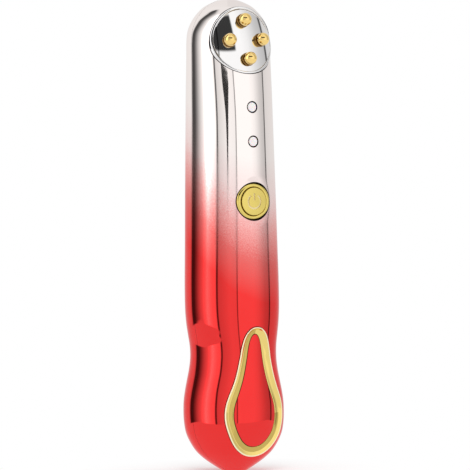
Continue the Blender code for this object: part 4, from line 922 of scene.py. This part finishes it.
class Nodes:
    """Adds nodes to a tree. Each helper gives back the socket that it made."""

    def __init__(self, tree):
        self.tree = tree

    def node(self, kind, **settings):
        made = self.tree.nodes.new(kind)
        for key, value in settings.items():
            setattr(made, key, value)
        return made

    def link(self, source, target):
        self.tree.links.new(source, target)

    def put(self, target, value):
        if isinstance(value, bpy.types.NodeSocket):
            self.link(value, target)
        else:
            target.default_value = value

    def math(self, operation, first, second=0.0, third=0.0, clamp=False):
        made = self.node("ShaderNodeMath", operation=operation, use_clamp=clamp)
        for socket, value in zip(made.inputs, (first, second, third)):
            self.put(socket, value)
        return made.outputs[0]

    def span(self, value, low, high, out_low=0.0, out_high=1.0, **settings):
        """The value with its range from low to high moved to that from out_low to out_high."""
        made = self.node("ShaderNodeMapRange", **settings)
        for socket, number in zip(made.inputs, (value, low, high, out_low, out_high)):
            self.put(socket, number)
        return made.outputs[0]

    def ramp(self, value, stops):
        made = self.node("ShaderNodeValToRGB")
        self.link(value, made.inputs[0])
        elements = made.color_ramp.elements
        for index, (position, colour) in enumerate(stops):
            if index < 2:
                element = elements[index]
                element.position = position
            else:
                element = elements.new(position)
            element.color = (*colour, 1)
        return made.outputs[0]


class Paint(Nodes):
    """One node material round its Principled shader, in the object's coordinates."""

    def __init__(self, name):
        self.material = bpy.data.materials.new(name)
        self.material.use_nodes = True
        super().__init__(self.material.node_tree)
        self.shader = self.tree.nodes["Principled BSDF"]
        self.place = self.node("ShaderNodeTexCoord").outputs["Object"]

    def noise(self, scale, detail=2.0, roughness=0.5, stretch=None):
        source = self.place
        if stretch:
            mapping = self.node("ShaderNodeMapping")
            mapping.inputs["Scale"].default_value = stretch
            self.link(source, mapping.inputs["Vector"])
            source = mapping.outputs["Vector"]
        made = self.node("ShaderNodeTexNoise")
        for key, value in (("Vector", source), ("Scale", scale), ("Detail", detail),
                           ("Roughness", roughness)):
            self.put(made.inputs[key], value)
        return made.outputs["Fac"]

    def spread(self, noise, out_low=0.0, out_high=1.0):
        return self.span(noise, NOISE_LOW, NOISE_HIGH, out_low, out_high)

    def mix(self, share, first, second):
        made = self.node("ShaderNodeMix", data_type="RGBA")
        self.put(made.inputs["Factor"], share)
        for socket, value in ((made.inputs[6], first), (made.inputs[7], second)):
            self.put(socket, (*value, 1.0) if isinstance(value, tuple) else value)
        return made.outputs[2]

    def bump(self, height, strength, distance):
        made = self.node("ShaderNodeBump")
        made.inputs["Strength"].default_value = strength
        made.inputs["Distance"].default_value = distance
        self.link(height, made.inputs["Height"])
        self.link(made.outputs["Normal"], self.shader.inputs["Normal"])

    def set(self, **values):
        """Puts values or other sockets on the shader's own sockets."""
        for key, value in values.items():
            self.put(self.shader.inputs[key.replace("_", " ")], value)


def finish(name, colour, metallic, roughness, scale, spread=0.12, rough_spread=0.08,
           bump=0.15, depth=0.00004, stretch=None):
    """A plain finish whose colour, roughness and surface vary in a fine grain."""
    paint = Paint(name)
    grain = paint.noise(scale, 3.0, 0.6, stretch)
    cloud = paint.noise(scale / CLOUD_COARSER, 2.0)
    both = paint.math("MULTIPLY_ADD", grain, 0.5, paint.math("MULTIPLY", cloud, 0.5))
    low = tuple(channel * (1 - spread) for channel in colour)
    high = tuple(min(channel * (1 + spread), 1.0) for channel in colour)
    paint.set(Base_Color=paint.mix(paint.spread(both), low, high), Metallic=metallic,
              Roughness=paint.spread(both, max(roughness - rough_spread, LEAST_ROUGHNESS),
                                     roughness + rough_spread))
    paint.bump(grain, bump, depth)
    paint.material.diffuse_color = (*colour, 1.0)
    return paint.material


SILVER = (0.96, 0.89, 0.86)
RED = (0.88, 0.032, 0.03)
DEEP_RED = (0.80, 0.026, 0.026)
LACQUER_STOPS = ((0.0, SILVER), (0.28, (0.94, 0.76, 0.74)), (0.5, (0.90, 0.42, 0.40)),
                 (0.72, (0.80, 0.15, 0.14)), (1.0, RED))
# Heights where the lacquer starts and where it is full, and how it climbs to the rear and left
LACQUER_TOP = 0.127
LACQUER_FULL = 0.074
LACQUER_REAR = 0.6
LACQUER_LEFT = 0.28
LACQUER_FAR_LEFT = 0.6
LACQUER_FAR_START = 0.008
LACQUER_WANDER = 0.0015
CLOUD_SCALE = 38.0
DROPLET_SCALE = 2600.0
DROPLET_SPREAD = 1.1
DROPLET_SHARE = 0.3
DEEP_SHARE = 0.35
PLATED_ROUGH = 0.045
SPRAYED_ROUGH = 0.42
FINE_ROUGH = 0.012


def plated_skin():
    """Silver plating at the head, tinted through pink to red by a sprayed lacquer."""
    paint = Paint("plated_skin")
    split = paint.node("ShaderNodeSeparateXYZ")
    paint.link(paint.place, split.inputs[0])
    x, y, z = split.outputs
    # The lacquer reaches higher at the rear and on the left side
    lead = paint.math("ADD", paint.math("MULTIPLY", y, LACQUER_REAR),
                      paint.math("MULTIPLY", x, -LACQUER_LEFT))
    left = paint.math("SUBTRACT", paint.math("MULTIPLY", x, -1.0), LACQUER_FAR_START)
    left = paint.math("MAXIMUM", left, 0.0)
    level = paint.math("SUBTRACT", z, paint.math("MULTIPLY_ADD", left, LACQUER_FAR_LEFT, lead))
    cloud = paint.noise(CLOUD_SCALE, 2.0)
    level = paint.math("ADD", level, paint.spread(cloud, -LACQUER_WANDER, LACQUER_WANDER))
    grain = paint.noise(DROPLET_SCALE, 3.0, 0.7)
    tint = paint.span(level, LACQUER_TOP, LACQUER_FULL)
    # The droplets of the lacquer show where the coat is thin
    between = paint.math("MULTIPLY", tint, paint.math("SUBTRACT", 1.0, tint))
    grainy = paint.math("MULTIPLY", paint.spread(grain, -DROPLET_SPREAD, DROPLET_SPREAD), between)
    tint = paint.math("ADD", tint, paint.math("MULTIPLY", grainy, DROPLET_SHARE), clamp=True)
    lacquer = paint.ramp(tint, LACQUER_STOPS)
    deep = paint.mix(paint.span(cloud, 0.35, 0.65, 0.0, DEEP_SHARE), lacquer, DEEP_RED)
    shade = paint.mix(paint.math("MULTIPLY", tint, tint), lacquer, deep)
    rough = paint.math("MULTIPLY_ADD", between, SPRAYED_ROUGH, PLATED_ROUGH)
    rough = paint.math("ADD", rough, paint.spread(grain, -FINE_ROUGH, FINE_ROUGH), clamp=True)
    paint.set(Base_Color=shade, Metallic=1.0, Roughness=rough, Coat_Weight=0.3, Coat_Roughness=0.03,
              Specular_Tint=paint.mix(0.5, shade, (1.0, 1.0, 1.0)))
    paint.bump(grain, 0.05, 0.00001)
    paint.material.diffuse_color = (*RED, 1)
    return paint.material


def clear_disc():
    paint = Paint("light_disc")
    grain = paint.noise(2200.0, 3.0)
    paint.set(Base_Color=paint.mix(grain, (0.74, 0.70, 0.70), (0.86, 0.81, 0.81)),
              Roughness=paint.spread(grain, 0.32, 0.46), Subsurface_Weight=0.2,
              Subsurface_Scale=0.001)
    paint.bump(grain, 0.1, 0.00002)
    return paint.material


# ---- the object

def dress(thing, body, slot, nodes, *materials):
    for material in materials:
        thing.data.materials.append(material)
    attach(thing, body)
    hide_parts(*nodes)
    return thing


SKIN = plated_skin()
RAW = finish("raw_plastic", (0.016, 0.009, 0.009), 0.0, 0.6, 900.0)
CHROME = finish("polished_plate", (0.89, 0.875, 0.87), 1.0, 0.035, 700.0, spread=0.02,
                rough_spread=0.012, bump=0.02, depth=0.00001)
BALL_GOLD = finish("ball_gold", (0.97, 0.69, 0.25), 1.0, 0.05, 900.0, spread=0.04,
                   rough_spread=0.03, bump=0.03, depth=0.00001)
# A painted shade for the balls' undersides, necks and flanges
BALL_PAINTED_SHADE = finish("ball_painted_shade", (0.30, 0.17, 0.045), 1.0, 0.16, 900.0, spread=0.08,
                    rough_spread=0.04, bump=0.05, depth=0.00001)
TRIM_GOLD = finish("trim_gold", (0.88, 0.68, 0.22), 1.0, 0.07, 500.0, spread=0.05,
                   rough_spread=0.02, bump=0.03, depth=0.00001, stretch=(1, 1, 0.25))
# A painted highlight for the trim's crest, and a painted shade for its inner slope
TRIM_PAINTED_HIGHLIGHT = finish("trim_painted_highlight", (1.0, 0.90, 0.62), 1.0, 0.04, 500.0, spread=0.03,
                    rough_spread=0.01, bump=0.02, depth=0.00001)
TRIM_PAINTED_SHADE = finish("trim_painted_shade", (0.60, 0.44, 0.12), 1.0, 0.10, 500.0, spread=0.08,
                    rough_spread=0.03, bump=0.03, depth=0.00001)
SATIN_GOLD = finish("satin_gold", (0.78, 0.62, 0.17), 1.0, 0.15, 1800.0, spread=0.06,
                    rough_spread=0.04, bump=0.06, depth=0.00001)
GROOVE_GOLD = finish("groove_gold", (0.90, 0.76, 0.44), 1.0, 0.4, 3000.0)
DISC = clear_disc()

dress(housing_front(), "wand", "shell", ["front_shell"], SKIN, RAW)
dress(housing_rear(), "wand", "shell", ["rear_shell"], SKIN, RAW)
dress(head_ring(), "wand", "silver_chrome", ["head_ring"], CHROME)
dress(head_plate(), "wand", "silver_chrome", ["head_plate"], CHROME)
for pin_name, pin_place in pin_frames().items():
    dress(electrode(f"ball_{pin_name}", pin_place), "wand", "gold", [f"electrode_{pin_name}"],
          BALL_GOLD, BALL_PAINTED_SHADE)
dress(button_bezel(), "wand", "gold", ["button_bezel"], SATIN_GOLD)
dress(button_cap(), "button", "gold_plastic", ["button_cap"], SATIN_GOLD, GROOVE_GOLD)
for light_name, light_height in zip(("lower", "upper"), LIGHT_HEIGHTS):
    dress(light_disc(f"light_disc_{light_name}", light_height), "wand", "light_guide",
          [f"light_guide_{light_name}"], DISC)
dress(trim(), "wand", "gold", ["teardrop_trim"], TRIM_GOLD, TRIM_PAINTED_HIGHLIGHT, TRIM_PAINTED_SHADE)

# Finishes of the pieces inside, by the record's slots: colour, metallic, roughness, grain per metre
INNER = {
    "seal_rubber": ((0.03, 0.03, 0.03), 0.0, 0.75, 1500.0),
    "white_plastic": ((0.75, 0.75, 0.73), 0.0, 0.5, 1200.0),
    "steel": ((0.62, 0.62, 0.63), 1.0, 0.3, 1600.0),
    "dark_plastic": ((0.05, 0.05, 0.055), 0.0, 0.5, 900.0),
    "battery": ((0.04, 0.16, 0.42), 0.0, 0.38, 400.0),
    "foam": ((0.3, 0.3, 0.3), 0.0, 0.9, 2500.0),
    "weight_metal": ((0.36, 0.35, 0.34), 1.0, 0.4, 1300.0),
    "board": ((0.03, 0.19, 0.09), 0.0, 0.35, 1100.0),
    "led": ((0.9, 0.88, 0.7), 0.0, 0.25, 900.0),
    "wire_red": ((0.65, 0.03, 0.03), 0.0, 0.45, 1400.0),
    "wire_black": ((0.03, 0.03, 0.03), 0.0, 0.45, 1400.0),
    "wire_blue": ((0.1, 0.2, 0.55), 0.0, 0.45, 1400.0),
    "wire_yellow": ((0.75, 0.62, 0.1), 0.0, 0.45, 1400.0),
    "wire_white": ((0.8, 0.8, 0.78), 0.0, 0.45, 1400.0),
}
INNER_MATERIALS = {slot: finish(slot, *values) for slot, values in INNER.items()}
for row in frame["record"]["subparts"]:
    node = frame["nodes"][row["node"]]
    inner = INNER_MATERIALS.get(row["material_slot"])
    if inner and not node.hide_render:
        node.data.materials.clear()
        node.data.materials.append(inner)


# ---- floor, light, camera

# What reflections show: degrees to the right of the camera, seen from the object, and brightness
STUDIO = (
    (-180, 0.85), (-127, 0.90), (-121, 0.66), (-118, 0.07), (-108, 0.07), (-100, 0.28),
    (-91, 0.66), (-82, 0.98), (-74, 1.5), (-68, 2.5), (-60, 1.7), (-54, 1.3), (-45.5, 1.1),
    (-44.2, 0.08), (-41.2, 0.08), (-40.0, 0.74), (-20, 0.92), (-12, 1.0), (6, 0.96),
    (7.3, 0.24), (8.8, 0.24), (9.8, 1.08), (52, 1.08), (66, 0.98), (88, 0.66), (101.5, 0.56),
    (103, 0.08), (106, 0.08), (107.5, 0.72), (130, 0.78), (150, 0.80), (180, 0.80),
)
STUDIO_PEAK = 2.5
# Soft edges of the dark flag, in degrees and in height, and of the floor and the ceiling
FLAG_LEFT = (-34.0, -30.0)
FLAG_RIGHT = (42.0, 38.0)
FLAG_FOOT = (0.32, 0.35)
FLAG_TOP = (0.65, 0.62)
FLAG_DARK = 0.96
FLOOR_EDGE = (-0.158, -0.172)
FLOOR_DIP = 0.115
FLOOR_TONE = 0.93
ROOF_EDGE = (0.90, 0.97)
ROOF_TONE = 0.88
PLAIN_LIGHT = 0.75

FLOOR_REACH = 3
FLOOR_DROP = 0.0001
# Distances from the foot over which the floor turns to plain white, and that white's shares
FLOOR_WHITE = (0.012, 0.06, 0.35, 1.0)

LAMPS = (("key", (-0.5, -0.9, 1.1), 7.0), ("fill", (1.0, -0.4, 0.7), 3.0))
LAMP_TARGET = (0, 0, 0.09)
LAMP_SIZE = 0.7

SENSOR = 36.0
CLIP_END = 20.0


def studio_world():
    """White for the camera; bright panels and dark flags for what reflects; plain light else."""
    world = bpy.data.worlds.new("studio")
    bpy.context.scene.world = world
    world.use_nodes = True
    world.node_tree.nodes.clear()
    sky = Nodes(world.node_tree)

    def beyond(value, edge):
        return sky.span(value, *edge, interpolation_type="SMOOTHSTEP")

    split = sky.node("ShaderNodeSeparateXYZ")
    sky.link(sky.node("ShaderNodeTexCoord").outputs["Generated"], split.inputs[0])
    x, y, z = split.outputs
    turn = math.radians(CAMERA_AZIMUTH)
    right = sky.math("ADD", sky.math("MULTIPLY", x, math.cos(turn)),
                     sky.math("MULTIPLY", y, math.sin(turn)))
    ahead = sky.math("ADD", sky.math("MULTIPLY", x, math.sin(turn)),
                     sky.math("MULTIPLY", y, -math.cos(turn)))
    azimuth = sky.math("MULTIPLY", sky.math("ARCTAN2", right, ahead), 180 / math.pi)
    stops = [(degrees / 360 + 0.5, (level / STUDIO_PEAK,) * 3) for degrees, level in STUDIO]
    panels = sky.ramp(sky.math("MULTIPLY_ADD", azimuth, 1 / 360, 0.5), stops)
    level = sky.math("MULTIPLY", panels, STUDIO_PEAK)
    # A dark flag above the camera, for the left half of the head plate
    flag = sky.math("MULTIPLY", beyond(azimuth, FLAG_LEFT), beyond(azimuth, FLAG_RIGHT))
    tall = sky.math("MULTIPLY", beyond(z, FLAG_FOOT), beyond(z, FLAG_TOP))
    dark = sky.math("MULTIPLY", sky.math("MULTIPLY", flag, tall), FLAG_DARK)
    level = sky.math("MULTIPLY", level, sky.math("SUBTRACT", 1.0, dark))
    # The floor below, whose far edge stands lower in front than at the sides, and a ceiling
    edge = sky.math("MULTIPLY_ADD", sky.math("MAXIMUM", ahead, 0.0), FLOOR_DIP, z)
    for share, tone in ((beyond(edge, FLOOR_EDGE), FLOOR_TONE), (beyond(z, ROOF_EDGE), ROOF_TONE)):
        kept = sky.math("MULTIPLY", level, sky.math("SUBTRACT", 1.0, share))
        level = sky.math("MULTIPLY_ADD", share, tone, kept)
    path = sky.node("ShaderNodeLightPath").outputs
    shiny = sky.math("MAXIMUM", path["Is Glossy Ray"], path["Is Transmission Ray"])
    mirrored = sky.math("MULTIPLY", shiny, sky.math("SUBTRACT", level, PLAIN_LIGHT))
    watched = sky.math("MULTIPLY", path["Is Camera Ray"], 1.0 - PLAIN_LIGHT)
    background = sky.node("ShaderNodeBackground")
    background.inputs["Color"].default_value = (1, 1, 1, 1)
    sky.link(sky.math("ADD", sky.math("ADD", mirrored, watched), PLAIN_LIGHT),
             background.inputs["Strength"])
    sky.link(background.outputs[0], sky.node("ShaderNodeOutputWorld").inputs[0])


def floor():
    reach = FLOOR_REACH
    corners = [(-reach, -reach), (reach, -reach), (reach, reach), (-reach, reach)]
    plane = new_object("floor", [(x, y, -FLOOR_DROP) for x, y in corners], [(0, 1, 2, 3)])
    paint = Paint("floor")
    cloud = paint.noise(6.0, 2.0)
    paint.set(Base_Color=paint.mix(cloud, (0.93, 0.93, 0.93), (0.96, 0.96, 0.96)), Roughness=0.9,
              Specular_IOR_Level=0.0)
    # Away from the foot the camera sees plain white
    away = paint.node("ShaderNodeVectorMath", operation="LENGTH")
    paint.link(paint.place, away.inputs[0])
    seen = paint.node("ShaderNodeLightPath").outputs["Is Camera Ray"]
    share = paint.math("MULTIPLY", seen, paint.span(away.outputs["Value"], *FLOOR_WHITE))
    blend = paint.node("ShaderNodeMixShader")
    paint.link(share, blend.inputs[0])
    paint.link(paint.shader.outputs[0], blend.inputs[1])
    paint.link(paint.node("ShaderNodeEmission").outputs[0], blend.inputs[2])
    paint.link(blend.outputs[0], paint.tree.nodes["Material Output"].inputs["Surface"])
    plane.data.materials.append(paint.material)
    plane.visible_glossy = False
    plane.visible_transmission = False


def wedge():
    """A dark card that only reflections show, for the narrow spike below the head."""
    turn = math.radians(CAMERA_AZIMUTH + WEDGE_AZIMUTH)
    middle = Vector((math.sin(turn), -math.cos(turn), 0)) * WEDGE_DISTANCE
    across = Vector((math.cos(turn), math.sin(turn), 0))
    edge = [middle + across * half + Vector((0, 0, height)) for height, half in WEDGE_EDGE]
    edge += [middle - across * half + Vector((0, 0, height))
             for height, half in reversed(WEDGE_EDGE[1:])]
    card = new_object("wedge", edge, [tuple(range(len(edge)))])
    card.data.materials.append(finish("dark_card", (0.03, 0.03, 0.03), 0.0, 0.9, 60.0))
    card.visible_camera = False
    card.visible_diffuse = False
    card.visible_transmission = False
    card.visible_shadow = False


def lamp(name, place, power):
    data = bpy.data.lights.new(name, "AREA")
    data.shape = "DISK"
    data.size = LAMP_SIZE
    data.energy = power
    thing = bpy.data.objects.new(name, data)
    thing.location = place
    look = Vector(LAMP_TARGET) - Vector(place)
    thing.rotation_euler = look.to_track_quat("-Z", "Y").to_euler()
    thing.visible_glossy = False
    bpy.context.scene.collection.objects.link(thing)


def camera():
    data = bpy.data.cameras.new("camera")
    data.sensor_width = SENSOR
    data.lens = SENSOR * CAMERA_DISTANCE / IMAGE_WIDTH
    data.clip_end = CLIP_END
    turn = math.radians(CAMERA_AZIMUTH)
    tilt = math.radians(CAMERA_ELEVATION)
    away = Vector((math.sin(turn) * math.cos(tilt), -math.cos(turn) * math.cos(tilt),
                   math.sin(tilt)))
    right = Vector((math.cos(turn), math.sin(turn), 0))
    target = right * IMAGE_SIDE + Vector((0, 0, IMAGE_MIDDLE))
    thing = bpy.data.objects.new("camera", data)
    bpy.context.scene.collection.objects.link(thing)
    look = (-away).to_track_quat("-Z", "Y").to_matrix().to_4x4()
    roll = Matrix.Rotation(-math.radians(CAMERA_ROLL), 4, "Z")
    thing.matrix_world = Matrix.Translation(target + away * CAMERA_DISTANCE) @ look @ roll
    bpy.context.scene.camera = thing


studio_world()
floor()
wedge()
for lamp_name, lamp_place, lamp_power in LAMPS:
    lamp(lamp_name, lamp_place, lamp_power)
camera()
bpy.context.scene.view_settings.view_transform = "Standard"
